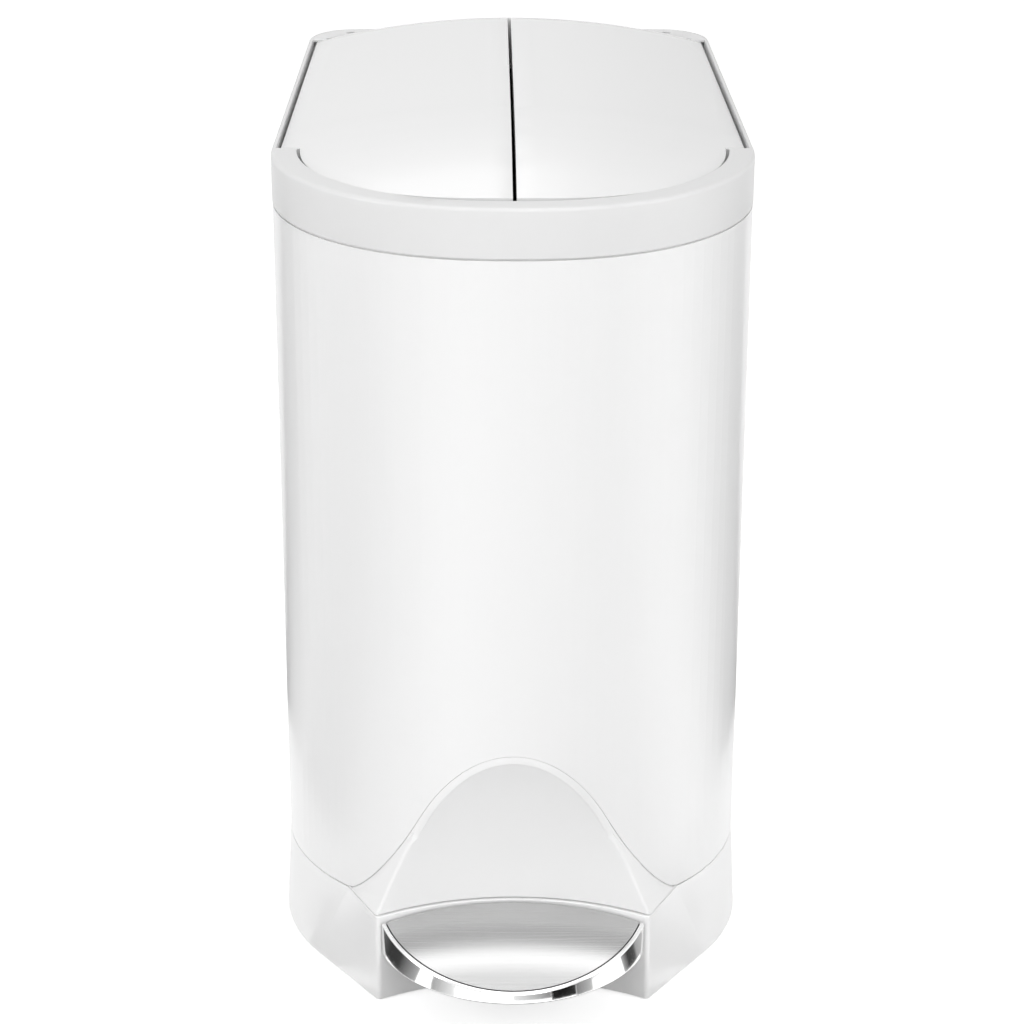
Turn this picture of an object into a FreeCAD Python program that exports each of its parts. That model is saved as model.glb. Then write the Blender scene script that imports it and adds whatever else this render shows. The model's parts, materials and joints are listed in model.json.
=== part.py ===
"""White pedal bin with a butterfly lid. Millimetres, +Z up, pedal towards -Y.

While the pieces are built, y = 0 is the line of the shoulder arcs' centres. The last step moves them all so
that the plan's middle is at the origin.
"""
import FreeCAD, Part
import math
import os

V = FreeCAD.Vector
X_AXIS = V(1, 0, 0)
Y_AXIS = V(0, 1, 0)
Z_AXIS = V(0, 0, 1)
ORIGIN = V(0, 0, 0)

# ---------------------------------------------------------------- driving dimensions
overcut = 1.0               # blocks that cut reach this far past what they cut
match_tolerance = 0.01      # edges this close to a surface count as lying on it

# plan of the body
body_width = 230.0          # outside width where the straight sides begin
side_taper = 1.15           # each side leans inwards towards the back, degrees
shoulder_offset = 10.0      # centres of the shoulder arcs, out from the middle
front_radius = 190.0
back_y = 261.4              # outside of the back wall
rear_corner_radius = 26.0
least_corner_radius = 6.0

# heights
foot_height = 1.0           # gap under the base, filled by the pads
base_height = 46.5
body_height = 334.4
rim_height = 23.6

# base moulding
base_flare = 2.5            # the base is this much wider at the floor
base_wall = 3.0
arch_side = 33.0            # steel left beside the foot of the arch
toe_corner_inset = 15.5     # front corners of the base, inwards from the foot of the arch
toe_corner_ahead = 1.5      # front corners of the base, ahead of the steel body
toe_arc_radius = 130.0
prow_join_angle = 46.8      # where the prow meets the body outline, from the side
corner_rounding = 2.5
spigot_height = 10.0        # upstand inside the steel body
spigot_wall = 2.4
spigot_gap = 0.1
spigot_arch_gap = 8.0       # the upstand stops short of the arch
lever_slot_height = 32.0
lever_slot_drop = 8.0
lever_slot_gap = 4.0        # beside the lever
bracket_gap = 3.0           # lever to the axle brackets
bracket_thickness = 8.0
bracket_width = 18.0
bracket_drop = 8.0          # below the axle's centre

# floor plate, its screws and the pads
floor_plate = 2.5
plate_recess = 1.0          # floor plate, up from the foot of the base
plate_gap = 0.5
post_inset = 22.0
post_front_y = -8.0
post_rear_setback = 46.4    # from the back wall
post_radius = 5.0
screw_radius = 1.5
screw_head_radius = 3.0
screw_head_height = 1.1
screw_seat = 1.2            # recess for the head in the floor plate
screw_head_gap = 0.3
screw_length = 14.0
screw_hole_depth = 20.0
pad_radius = 9.0
pad_front_y = -44.0
pad_front_inset = 42.0
pad_rear_setback = 71.4
pad_rear_inset = 30.0

# steel body and toe arch
sheet = 1.0
parting_rounding = 0.6      # edges of the base and the rim beside the steel
arch_height = 87.0
arch_ellipse_inset = 20.0   # half width of the arch's ellipse, less than the foot by this
arch_ellipse_height = 115.0
arch_flank_inset = 15.0     # the flank turns outwards this far inside the ellipse
arch_flank_power = 1.35
arch_skin = 3.5             # thickness of the panel's rim beside the steel
arch_wall = 2.5
arch_gap = 0.1
scoop_straight = 15.0       # height of the scoop's upright part
scoop_radius = 144.6
scoop_sweep = 60.0
scoop_ledge = 1.0           # the scoop stands back from the base's recess
ridge_rounding = 1.5        # between the scoop and the facets beside it
arch_band = 4.6             # rim of the panel round the scoop, flush with the steel
arch_band_foot = 41.0       # the rim ends this far above the base
arch_band_rounding = 1.0
prow_lean = 26.0            # lean of the facets beside the scoop, degrees
prow_height = 60.0

# rim
rim_proud = 0.2
rim_land = 12.0             # flat top of the rim in front of the lids
rim_lip = 2.2               # thin lip outside the lids along the sides
rim_collar = 26.0           # inset of the opening for the bucket
collar_wall = 2.0
collar_drop = 10.0
collar_rise = 4.0
collar_gap = 4.0            # bucket to the back of the collar
pocket_depth = 14.0
shelf_thickness = 3.0
rim_edge_rounding = 2.0

# lids
seam_gap = 0.9              # half the gap between the lids
front_gap = 1.7             # lids to the rim's land
rear_gap = 0.9              # lids to the rear deck
lid_step_y = -1.0           # the lids widen behind this line
lid_rear_setback = 30.0     # rear edge of the lids, ahead of the back wall
lid_crown = 12.5
crown_radius = 430.0
crown_front_y = 33.0
crown_front_radius = 676.0
crown_front_sweep = 14.0
crown_rear_setback = 36.4
crown_rear_radius = 65.0
crown_rear_sweep = 50.0
crown_skirt = 30.0          # depth of the block under the crown
lid_wall = 2.4
lid_skirt = 8.0
liner_wall = 1.6
liner_inset = 9.0
lid_open_angle = 80.0

# lid hinges
hinge_inset = 7.8           # hinge line, inwards from the outside of the body
hinge_drop = 3.8            # hinge line, down from the top of the rim
hinge_barrel = 4.25         # outer edge of the lids, about the hinge line
hinge_pin_radius = 1.25
hinge_pin_length = 18.0
hinge_lug_radius = 2.4
hinge_lug_length = 12.0
saddle_length = 2.8
saddle_inner = 4.0          # web beside the shaft, towards the middle
saddle_outer = 2.6
saddle_gap = 0.5            # to the deck round it
running_gap = 0.05          # shaft in its bore, radial

# rear deck
deck_wall = 1.2
deck_drop = 0.1             # flat part of the deck, down from the top of the rim
deck_gap = 0.2              # deck to the rim's lip
deck_ledge = 1.4            # shelf under the deck's edge
vent_places = ((11.5, 25.9), (21.8, 10.3), (32.0, 6.8))   # inwards from the side and from the back wall
vent_length = 4.8
vent_width = 2.4
vent_turn = 30.0

# lid drive at the back
drive_shaft_radius = 1.5
crank_setback = 24.0        # middle of the cranks, from the back wall
crank_thickness = 2.6
crank_radius = 14.0
crank_hub_radius = 2.2
crank_eye_wall = 0.9
crank_rest_angle = 80.0     # below the horizontal, pointing inwards
crank_pin_radius = 1.2
crank_pin_end = 1.5         # beyond the cam plate
cam_setback = 19.8
cam_plate_thickness = 2.0
cam_lift = 17.0
cam_wall = 1.6
cam_clearance = 0.4
cam_steps = 8
cam_bar_below = 4.4
cam_bar_above = 3.4
cam_hub_width = 14.0
cam_hub_height = 12.0
cam_hub_depth = 5.0         # behind the rod's centre
rod_setback = 13.4
rod_radius = 2.5
rod_hole_gap = 2.0          # round the rod where it passes the top of the base
rod_top = 6.0               # above the cam plate's bar
guide_low_z = 120.0
guide_high_z = 300.0
guide_length = 14.0
guide_width = 18.0
guide_front = 6.0           # ahead of the rod's centre
foot_width = 12.0
foot_depth = 14.0
foot_below = 5.0            # rod foot, below the lever's pin
foot_above = 11.0
foot_socket = 6.0           # the rod starts this far above the pin
foot_travel = 1.0           # slack of the pin's slot, each way

# damper
damper_x = 34.0
damper_drop = 24.0          # top of the damper, below the cam plate's bar
damper_radius = 8.0
damper_length = 78.0
damper_wall = 2.0
damper_gland = 3.0
damper_rod_radius = 1.5
damper_rod_insert = 40.0
piston_length = 5.0
lug_width = 12.0
lug_thickness = 3.0
clip_width = 22.0
clip_height = 30.0
clip_drop = 60.0
clip_front = 3.0

# pedal lever and axle
pivot_y = 55.0
pivot_drop = 24.0           # axle, down from the top of the base
axle_radius = 3.0
axle_length = 92.0
bush_wall = 0.8
bush_flange = 3.0
bush_flange_thickness = 1.0
axle_clip_wall = 2.5
axle_clip_thickness = 1.0
axle_clip_gap = 0.3
lever_width = 36.0
lever_height = 12.0
lever_wall = 2.0
lever_tilt = 2.6            # the rear end hangs lower, degrees
lever_rear = 6.0            # beyond the pin
lever_fork = 12.0
lever_grip = 30.8           # front end of the lever, behind the tip of the pedal
lever_pin_radius = 2.0

# pedal
pedal_reach = 48.4          # tip of the pedal, ahead of the steel body
pedal_gap = 1.0             # pedal to recess wall
pedal_overlap = 0.8         # pedal's front arc, wider than the recess
pedal_top_drop = 1.2        # rear edge of the pedal, down from the top of the base
pedal_slope = 0.10
pedal_curve_radius = 300.0
pedal_skirt_drop = 20.5     # lower edge of the pedal, down from the top of the base
pedal_plate = 1.2
pedal_lip = 2.2
pedal_lip_proud = 0.3
pedal_lip_gap = 0.15
pedal_core_rise = 1.0       # core, up from the lower edge of the lip
pedal_core_gap = 0.01
pedal_core_back = 6.0       # core, ahead of the recess wall
pedal_screw_x = 9.0
pedal_screw_back = 10.0     # behind the front end of the lever
pedal_screw_cover = 1.4     # plastic left between the screw's tip and the tread
pedal_head_height = 1.5

# inner bucket
bucket_inset = 29.5
bucket_wall = 1.8
bucket_flange = 6.5
bucket_flange_thickness = 2.0
bucket_setback = 61.4
bucket_corner = 22.0
bucket_floor_gap = 3.0

# lid stops
bumper_inner_x = 12.0
bumper_outer_x = 46.0
bumper_radius = 2.2
bumper_inset = 5.5          # average distance behind the rim's land
bumper_gap = 0.3

# ---------------------------------------------------------------- derived positions
far = 3 * body_width                          # reach of the blocks that only cut
line_z = foot_height + base_height            # top of the base, foot of the steel body
rim_z = line_z + body_height
rim_top = rim_z + rim_height
shoulder_radius = body_width / 2 - shoulder_offset
taper = math.radians(side_taper)
junction = math.acos(shoulder_offset / (front_radius - shoulder_radius))
front_centre_y = (front_radius - shoulder_radius) * math.sin(junction)
front_y = front_centre_y - front_radius
arch_foot_x = body_width / 2 - arch_side
arch_ellipse_width = arch_foot_x - arch_ellipse_inset
arch_flank_x = arch_ellipse_width - arch_flank_inset
toe_corner_x = arch_foot_x - toe_corner_inset
toe_corner_y = front_y - toe_corner_ahead
toe_arc_y = toe_corner_y - math.sqrt(toe_arc_radius ** 2 - toe_corner_x ** 2)
recess_y = toe_arc_y + toe_arc_radius
plate_z = foot_height + plate_recess
lid_rear_y = back_y - lid_rear_setback
crown_rear_y = back_y - crown_rear_setback
hinge_z = rim_top - hinge_drop
shelf_z = rim_top - pocket_depth
saddle_y = lid_rear_y + rear_gap + saddle_length / 2
deck_under_z = rim_top - deck_drop - deck_wall
crank_y = back_y - crank_setback
cam_plate_y = back_y - cam_setback
rod_y = back_y - rod_setback
pivot_z = line_z - pivot_drop
lever_pin_z = pivot_z - (rod_y - pivot_y) * math.tan(math.radians(lever_tilt))
pedal_front_y = front_y - pedal_reach
pedal_front_radius = toe_corner_x + pedal_overlap
pedal_arc_y = pedal_front_y + pedal_front_radius
lever_front_y = pedal_front_y + lever_grip
bucket_back_y = back_y - bucket_setback
side_normal = V(math.cos(taper), math.sin(taper), 0)
origin_shift = (back_y + base_flare + pedal_front_y) / 2


# ---------------------------------------------------------------- helpers
def box(x0, x1, y0, y1, z0, z1):
    """A block between two corners."""
    return Part.makeBox(x1 - x0, y1 - y0, z1 - z0, V(x0, y0, z0))


def clipped(shape, x=(-far, far), y=(-far, far), z=(-far, far)):
    """The part of a shape between limits along the axes."""
    return shape.common(box(*x, *y, *z))


def cylinder(radius, start, direction, length):
    """A cylinder from a start point along a direction."""
    return Part.makeCylinder(radius, length, start, direction)


def across(radius, y, z):
    """A cylinder along X through the whole bin."""
    return cylinder(radius, V(-far, y, z), X_AXIS, 2 * far)


def fused(shapes):
    """One solid from several that touch or overlap."""
    return shapes[0].multiFuse(shapes[1:]).removeSplitter()


def mirrored(shape):
    """The same piece on the other side of the bin."""
    return shape.mirror(ORIGIN, X_AXIS)


def both_sides(shape):
    """A right-hand shape together with its left-hand twin, as separate solids."""
    return Part.makeCompound([shape, mirrored(shape)])


def largest(shape):
    """The biggest solid of a cut."""
    return max(shape.Solids, key=lambda solid: solid.Volume)


def arc(centre, radius, start, end):
    """A circular arc in plan between two angles in radians."""
    middle = (start + end) / 2
    points = [centre + V(radius * math.cos(a), radius * math.sin(a), 0) for a in (start, middle, end)]
    return Part.Arc(*points).toShape()


def line(start, end):
    """A straight edge."""
    return Part.LineSegment(start, end).toShape()


def side_x(inset, y):
    """Right-hand x of the straight side, a given distance inside it."""
    return shoulder_offset + (shoulder_radius - inset - y * math.sin(taper)) / math.cos(taper)


def rear_edges(offset, z, back, corner):
    """Edges of the right side from the shoulder, round the rear corner, to the middle of the back."""
    shoulder = V(shoulder_offset, 0, z)
    centre_y = back + offset - corner
    centre = V(side_x(corner - offset, centre_y), centre_y, z)
    side_start = shoulder + side_normal * (shoulder_radius + offset)
    side_end = centre + side_normal * corner
    back_end = V(0, back + offset, z)
    return [
        line(side_start, side_end),
        arc(centre, corner, taper, math.pi / 2),
        line(centre + V(0, corner, 0), back_end),
    ]


def close_outline(right_half):
    """A closed wire from the right half of an outline that is symmetric about x = 0."""
    left_half = [mirrored(edge) for edge in right_half]
    return Part.Wire(Part.__sortEdges__(right_half + left_half))


def outline(offset, z, back=back_y, corner=rear_corner_radius):
    """The body's plan outline, grown by an offset, at a height."""
    corner = max(corner + offset, least_corner_radius)
    edges = [
        arc(V(0, front_centre_y, z), front_radius + offset, -math.pi / 2, -junction),
        arc(V(shoulder_offset, 0, z), shoulder_radius + offset, -junction, taper),
    ]
    return close_outline(edges + rear_edges(offset, z, back, corner))


def prism(wire, height):
    """A solid straight up from a closed plan wire."""
    return Part.Face(wire).extrude(V(0, 0, height))


def plan_block(offset, z0, z1, **limits):
    """A block with the body's outline, grown by an offset, between two heights."""
    return prism(outline(offset, z0, **limits), z1 - z0)


def ring(outer, inner, z0, z1, **limits):
    """A wall between two offsets of the body outline."""
    return plan_block(outer, z0, z1, **limits).cut(plan_block(inner, z0 - overcut, z1 + overcut, **limits))


# ---------------------------------------------------------------- base
def prow_outline(flare, z):
    """Base outline: toe recess, front corner, prow side, shoulder, side and back."""
    corner = V(toe_corner_x, toe_corner_y, z)
    shoulder = V(shoulder_offset, 0, z)
    radius = shoulder_radius + flare
    reach = corner.sub(shoulder)
    tangent = math.atan2(-reach.y, reach.x) - math.acos(radius / reach.Length)
    join = math.radians(prow_join_angle) if flare == 0 else tangent
    join_point = shoulder + V(math.cos(join), -math.sin(join), 0) * radius
    half_arc = math.asin(toe_corner_x / toe_arc_radius)
    edges = [
        arc(V(0, toe_arc_y, z), toe_arc_radius, math.pi / 2 - half_arc, math.pi / 2),
        line(corner, join_point),
        arc(shoulder, radius, -join, taper),
    ]
    return close_outline(edges + rear_edges(flare, z, back_y, rear_corner_radius + flare))


def base_interior(inset, z0, z1):
    """The space inside the base walls, or a plate that fits it."""
    space = plan_block(-inset, z0, z1)
    recess = cylinder(toe_arc_radius + inset, V(0, toe_arc_y, z0 - overcut), Z_AXIS, z1 - z0 + 2 * overcut)
    return space.cut(recess)


def level_edges(shape, z):
    """Edges of a shape that lie at one height."""
    return [edge for edge in shape.Edges
            if all(abs(vertex.Z - z) < match_tolerance for vertex in edge.Vertexes)]


def post_places():
    """Plan places of the screws that hold the floor plate."""
    right = [V(side_x(post_inset, y), y, 0) for y in (post_front_y, back_y - post_rear_setback)]
    return right + [V(-place.x, place.y, 0) for place in right]


def make_base():
    """White base with the toe recess, axle brackets and an upstand for the steel body."""
    shell = Part.makeLoft([prow_outline(base_flare, foot_height), prow_outline(0, line_z)], True, True)
    corners = []
    for edge in shell.Edges:
        middle = edge.CenterOfMass
        off_corner = abs(abs(middle.x) - toe_corner_x) + abs(middle.y - toe_corner_y)
        if off_corner < match_tolerance:
            corners.append(edge)
    shell = shell.makeFillet(corner_rounding, corners)
    shell = shell.makeFillet(parting_rounding, level_edges(shell, line_z))
    shell = shell.cut(base_interior(base_wall, foot_height - overcut, line_z - base_wall))
    spigot = -sheet - spigot_gap
    upstand = ring(spigot, spigot - spigot_wall, line_z - overcut, line_z + spigot_height)
    arch_side_x = arch_foot_x + spigot_arch_gap
    upstand = upstand.cut(box(-arch_side_x, arch_side_x, -far, 0, plate_z, line_z + 2 * spigot_height))
    parts = [shell, upstand]
    inner = lever_width / 2 + bracket_gap
    bracket = box(inner, inner + bracket_thickness, pivot_y - bracket_width / 2, pivot_y + bracket_width / 2,
                  pivot_z - bracket_drop, line_z - base_wall / 2)
    parts += [bracket, mirrored(bracket)]
    for place in post_places():
        foot = place + V(0, 0, plate_z + floor_plate)
        parts.append(cylinder(post_radius, foot, Z_AXIS, line_z - base_wall / 2 - foot.z))
    base = fused(parts)
    axle_reach = inner + 2 * bracket_thickness
    bore = axle_radius + running_gap + bush_wall
    base = base.cut(cylinder(bore, V(-axle_reach, pivot_y, pivot_z), X_AXIS, 2 * axle_reach))
    half_slot = lever_width / 2 + lever_slot_gap
    slot_top = line_z - lever_slot_drop
    base = base.cut(box(-half_slot, half_slot, recess_y - 2 * base_wall, recess_y + 3 * base_wall,
                        slot_top - lever_slot_height, slot_top))
    rod_hole = V(0, rod_y, line_z - 2 * base_wall)
    base = base.cut(cylinder(rod_radius + rod_hole_gap, rod_hole, Z_AXIS, 4 * base_wall))
    for place in post_places():
        base = base.cut(cylinder(screw_radius, place, Z_AXIS, screw_hole_depth))
    return base


def make_floor_plate():
    """Plate that closes the base from below."""
    plate = base_interior(base_wall + plate_gap, plate_z, plate_z + floor_plate)
    for place in post_places():
        plate = plate.cut(cylinder(screw_radius, place, Z_AXIS, screw_hole_depth))
        plate = plate.cut(cylinder(screw_head_radius + screw_head_gap, place, Z_AXIS, plate_z + screw_seat))
    return plate


def make_floor_screws():
    """Four screws with pan heads, seated in the floor plate."""
    screws = []
    for place in post_places():
        seat = place + V(0, 0, plate_z + screw_seat)
        head = cylinder(screw_head_radius, seat - V(0, 0, screw_head_height), Z_AXIS, screw_head_height)
        screws.append(fused([head, cylinder(screw_radius, seat, Z_AXIS, screw_length)]))
    return Part.makeCompound(screws)


def make_foot_pads():
    """Four rubber pads that the bin stands on."""
    rear_y = back_y - pad_rear_setback
    places = ((side_x(pad_front_inset, 0), pad_front_y), (side_x(pad_rear_inset, rear_y), rear_y))
    pads = []
    for x, y in places:
        for side in (-1, 1):
            pads.append(cylinder(pad_radius, V(side * x, y, 0), Z_AXIS, plate_z))
    return Part.makeCompound(pads)


# ---------------------------------------------------------------- steel body and toe arch
def arch_z(x):
    """Height of the arch above the base at a distance from the middle."""
    def ellipse(distance):
        return arch_height - arch_ellipse_height * (1 - math.sqrt(1 - (distance / arch_ellipse_width) ** 2))
    distance = abs(x)
    if distance <= arch_flank_x:
        return ellipse(distance)
    left = (arch_foot_x - distance) / (arch_foot_x - arch_flank_x)
    return ellipse(arch_flank_x) * left ** arch_flank_power


def arch_block(gap):
    """A block through the front with the arch's outline, grown sideways and upwards by a gap."""
    count = 28
    ahead = 1.25 * front_y
    points = []
    for step in range(count + 1):
        x = arch_foot_x * math.cos(math.pi * step / count)
        points.append(V(x * (1 + gap / arch_foot_x), ahead, line_z + arch_z(x) + gap))
    curve = Part.BSplineCurve()
    curve.interpolate(points)
    first, last = points[0], points[-1]
    foot = line_z - overcut
    low_first, low_last = V(first.x, ahead, foot), V(last.x, ahead, foot)
    wire = Part.Wire([
        curve.toShape(),
        line(last, low_last),
        line(low_last, low_first),
        line(low_first, first),
    ])
    return Part.Face(wire).extrude(V(0, -ahead, 0))


def scoop_space(wall):
    """The toe space: upright at the foot, then curving forwards, behind an arc in plan."""
    radius = toe_arc_radius + scoop_ledge + wall
    centre = V(0, toe_arc_y, line_z + scoop_straight)
    turning_y = recess_y + scoop_ledge - scoop_radius
    depth = scoop_straight + overcut
    upright = cylinder(radius, centre - V(0, 0, depth), Z_AXIS, depth)
    disc = Part.Face(Part.Wire(Part.makeCircle(radius, centre, Z_AXIS)))
    disc = clipped(disc, y=(recess_y - scoop_radius / 2, far)).Faces[0]
    curved = disc.revolve(V(0, turning_y, centre.z), X_AXIS, scoop_sweep)
    return fused([upright, curved])


def prow_wedge():
    """The facets that lean back from the base's front corners to the body."""
    join = math.radians(prow_join_angle)
    corner = V(toe_corner_x, toe_corner_y, line_z)
    foot = V(shoulder_offset + shoulder_radius * math.cos(join), -shoulder_radius * math.sin(join), line_z)
    along = foot.sub(corner).normalize()
    shift = V(-along.y, along.x, 0) * (prow_height * math.tan(math.radians(prow_lean)))

    def section(move):
        right = [corner + move, foot + move]
        left = [V(-p.x, p.y, p.z) for p in reversed(right)]
        return Part.makePolygon(right + [V(0, front_y / 2, right[0].z)] + left + [right[0]])
    return Part.makeLoft([section(ORIGIN), section(shift + V(0, 0, prow_height))], True, True)


def edges_on(shape, on, off=()):
    """Edges of a shape whose middles lie on all of some surfaces and on none of others."""
    def near(solid, place):
        return solid.Shells[0].distToShape(place)[0] < match_tolerance
    edges = []
    for edge in shape.Edges:
        place = Part.Vertex(edge.discretize(3)[1])
        if all(near(solid, place) for solid in on) and not any(near(solid, place) for solid in off):
            edges.append(edge)
    return edges


def make_arch_band(top):
    """Rim of the arch panel that carries on the body's surface."""
    band = ring(0, -arch_skin, line_z + arch_band_foot, top)
    band = largest(band.common(arch_block(-arch_gap)).cut(arch_block(-arch_band)))
    edges = edges_on(band, [arch_block(-arch_band), plan_block(0, line_z, top)])
    return band.makeFillet(arch_band_rounding, edges)


def make_toe_arch():
    """White moulding that lines the toe space and fills the arch in the steel."""
    top = line_z + arch_height + arch_skin
    envelope = plan_block(0, line_z, top).fuse(prow_wedge()).common(arch_block(-arch_gap))
    block = largest(envelope.cut(scoop_space(0)))
    foot = box(-far, far, -far, far, 0, line_z)
    ridges = edges_on(block, [prow_wedge(), scoop_space(0)], [arch_block(-arch_gap), foot])
    block = block.makeFillet(ridge_rounding, ridges)
    hollow = plan_block(-arch_skin, line_z - overcut, top + overcut).cut(scoop_space(arch_wall))
    return largest(largest(block.cut(hollow)).fuse(make_arch_band(top)))


def make_body():
    """Painted steel wrap with the arch cut out of its front."""
    return ring(0, -sheet, line_z, rim_z).cut(arch_block(arch_gap))


# ---------------------------------------------------------------- crowned top
def crown_block(drop):
    """Everything under the crowned top surface, lowered by a drop."""
    top = rim_top + lid_crown - drop
    radius = crown_radius - drop
    reach = body_width / 2 + rim_proud + overcut
    foot = rim_top - crown_skirt
    edge_z = top - radius + math.sqrt(radius ** 2 - reach ** 2)

    def section(y):
        left, right = V(-reach, y, edge_z), V(reach, y, edge_z)
        low_left, low_right = V(-reach, y, foot), V(reach, y, foot)
        return Part.Face(Part.Wire([
            Part.Arc(left, V(0, y, top), right).toShape(),
            line(right, low_right),
            line(low_right, low_left),
            line(low_left, left),
        ]))
    crest = rim_top + lid_crown
    middle = section(crown_front_y).extrude(V(0, crown_rear_y - crown_front_y, 0))
    front = section(crown_front_y).revolve(V(0, crown_front_y, crest - crown_front_radius), X_AXIS,
                                           crown_front_sweep)
    rear = section(crown_rear_y).revolve(V(0, crown_rear_y, crest - crown_rear_radius), X_AXIS,
                                         -crown_rear_sweep)
    return fused([middle, front, rear])


def lid_plan(front_inset, side_inset, step_y, rear_y, z0, z1):
    """Plan space of both lids: narrow behind the bowed front, wide along the sides."""
    narrow = clipped(plan_block(-front_inset, z0, z1), y=(-far, step_y + lid_skirt))
    wide = clipped(plan_block(-side_inset, z0, z1), y=(step_y, rear_y))
    return narrow.fuse(wide).removeSplitter()


# ---------------------------------------------------------------- hinges and rim
def hinge_point(y):
    """A point on the right-hand hinge line."""
    return V(side_x(hinge_inset, y), y, hinge_z)


def along_hinge(radius, y, length):
    """A cylinder on the right-hand hinge line, centred on y."""
    direction = V(-math.sin(taper), math.cos(taper), 0)
    return cylinder(radius, hinge_point(y) - direction * (length / 2), direction, length)


def front_pin(gap):
    """The right-hand front hinge pin, or its hole with a radial gap."""
    return along_hinge(hinge_pin_radius + gap, lid_step_y, hinge_pin_length)


def make_saddle():
    """Right-hand web on the shelf with an open saddle for the drive shaft."""
    x = hinge_point(saddle_y).x
    low, high = saddle_y - saddle_length / 2, saddle_y + saddle_length / 2
    web = box(x - saddle_inner, x + saddle_outer, low, high, shelf_z - overcut, deck_under_z)
    bore = drive_shaft_radius + running_gap
    web = web.cut(along_hinge(bore, saddle_y, 2 * saddle_length))
    return web.cut(box(x - bore, x + bore, low - overcut, high + overcut, hinge_z, rim_top))


def make_rim():
    """White plastic rim: band, land, lip, shelf, bucket collar and shaft saddles."""
    opening = {"back": bucket_back_y + collar_gap + rim_collar, "corner": bucket_corner + rim_collar}
    band = plan_block(rim_proud, rim_z, rim_top)
    band = band.makeFillet(rim_edge_rounding, level_edges(band, rim_top))
    band = band.makeFillet(parting_rounding, level_edges(band, rim_z))
    above = rim_top + overcut
    below = rim_z - overcut
    band = band.cut(plan_block(-base_wall, below, shelf_z - shelf_thickness))
    band = band.cut(lid_plan(rim_land, rim_lip, lid_step_y, lid_rear_y + rear_gap, shelf_z, above))
    band = band.cut(clipped(plan_block(-rim_lip - deck_gap, shelf_z, above), y=(lid_rear_y, far)))
    band = band.cut(plan_block(-rim_collar, below, above, **opening))
    drive_space = plan_block(-rim_lip - deck_ledge, below, above)
    band = band.cut(clipped(drive_space, y=(saddle_y + saddle_length / 2, far)))
    collar = ring(-rim_collar, -rim_collar - collar_wall, shelf_z - collar_drop, shelf_z + collar_rise,
                  **opening)
    spigot_out = -sheet - spigot_gap
    spigot = ring(spigot_out, spigot_out - spigot_wall, rim_z - spigot_height, rim_z + overcut)
    saddle = make_saddle()
    rim = fused([band, collar, spigot, saddle, mirrored(saddle)])
    hole = front_pin(0)
    return rim.cut(hole).cut(mirrored(hole))


def make_rear_deck():
    """White cover over the lid drive, crowned to carry on the line of the lids."""
    low = lid_rear_y + rear_gap
    edge = rim_lip + deck_gap
    above = rim_top + 2 * lid_crown
    foot = rim_top - crown_skirt
    outer = clipped(plan_block(-edge, shelf_z, above), y=(low, far))
    outer = outer.common(crown_block(0).fuse(box(-far, far, 0, far, foot, rim_top - deck_drop)))
    hollow = clipped(plan_block(-edge - deck_wall, shelf_z - overcut, above), y=(low + deck_wall, far))
    hollow = hollow.common(crown_block(deck_wall).fuse(box(-far, far, 0, far, foot, deck_under_z)))
    deck = outer.cut(hollow)
    x = hinge_point(saddle_y).x
    passage = box(x - saddle_inner - saddle_gap, x + hinge_inset, low - overcut, saddle_y + saddle_length,
                  shelf_z - overcut, deck_under_z)
    deck = deck.cut(passage).cut(mirrored(passage))
    for inset, setback in vent_places:
        y = back_y - setback
        vent = box(-vent_length / 2, vent_length / 2, -vent_width / 2, vent_width / 2,
                   deck_under_z - overcut, above)
        vent.rotate(ORIGIN, Z_AXIS, -vent_turn)
        vent.translate(V(side_x(inset, y), y, 0))
        deck = deck.cut(vent).cut(mirrored(vent))
    return deck


# ---------------------------------------------------------------- lids
def hinge_limit(shape):
    """A lid shape with its outer edge rounded about the hinge line, so that it clears the rim's lip."""
    barrel = along_hinge(hinge_barrel, back_y / 2, 2 * back_y)
    inside = Part.makeBox(far, 2 * far, 2 * far, V(-far, -far, -far))
    inside.rotate(ORIGIN, Z_AXIS, side_taper)
    inside.translate(hinge_point(0))
    return shape.common(inside.fuse(barrel))


def make_lid():
    """Right-hand lid: crowned shell with a skirt and hinge lugs."""
    low, high = rim_top - lid_skirt, rim_top + 2 * lid_crown
    front = rim_land + front_gap
    side = hinge_inset - hinge_barrel
    step = lid_step_y + front_gap / 2
    shell = clipped(lid_plan(front, side, step, lid_rear_y, low, high), x=(seam_gap, far))
    space = lid_plan(front + lid_wall, side + lid_wall, step + lid_wall, lid_rear_y - lid_wall,
                     low - overcut, high)
    space = clipped(space, x=(seam_gap + lid_wall, far)).common(crown_block(lid_wall))
    lid = hinge_limit(shell.common(crown_block(0)).cut(space))
    front_lug = along_hinge(hinge_lug_radius, step + hinge_lug_length / 2, hinge_lug_length)
    rear_lug = along_hinge(hinge_lug_radius, lid_rear_y - hinge_lug_length / 2, hinge_lug_length)
    lid = fused([lid] + [lug.common(crown_block(lid_wall / 2)) for lug in (front_lug, rear_lug)])
    lid = lid.cut(front_pin(running_gap))
    return lid.cut(along_hinge(drive_shaft_radius, lid_rear_y, 2 * hinge_lug_length))


def make_liner():
    """Right-hand inner panel that closes the lid from below."""
    edge = lid_wall + liner_inset
    plan = lid_plan(rim_land + edge, hinge_inset + liner_inset, lid_step_y, lid_rear_y - edge,
                    rim_top - lid_skirt, rim_top + 2 * lid_crown)
    panel = clipped(plan, x=(edge, far)).common(crown_block(lid_wall))
    return largest(panel.cut(crown_block(lid_wall + liner_wall)))


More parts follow.
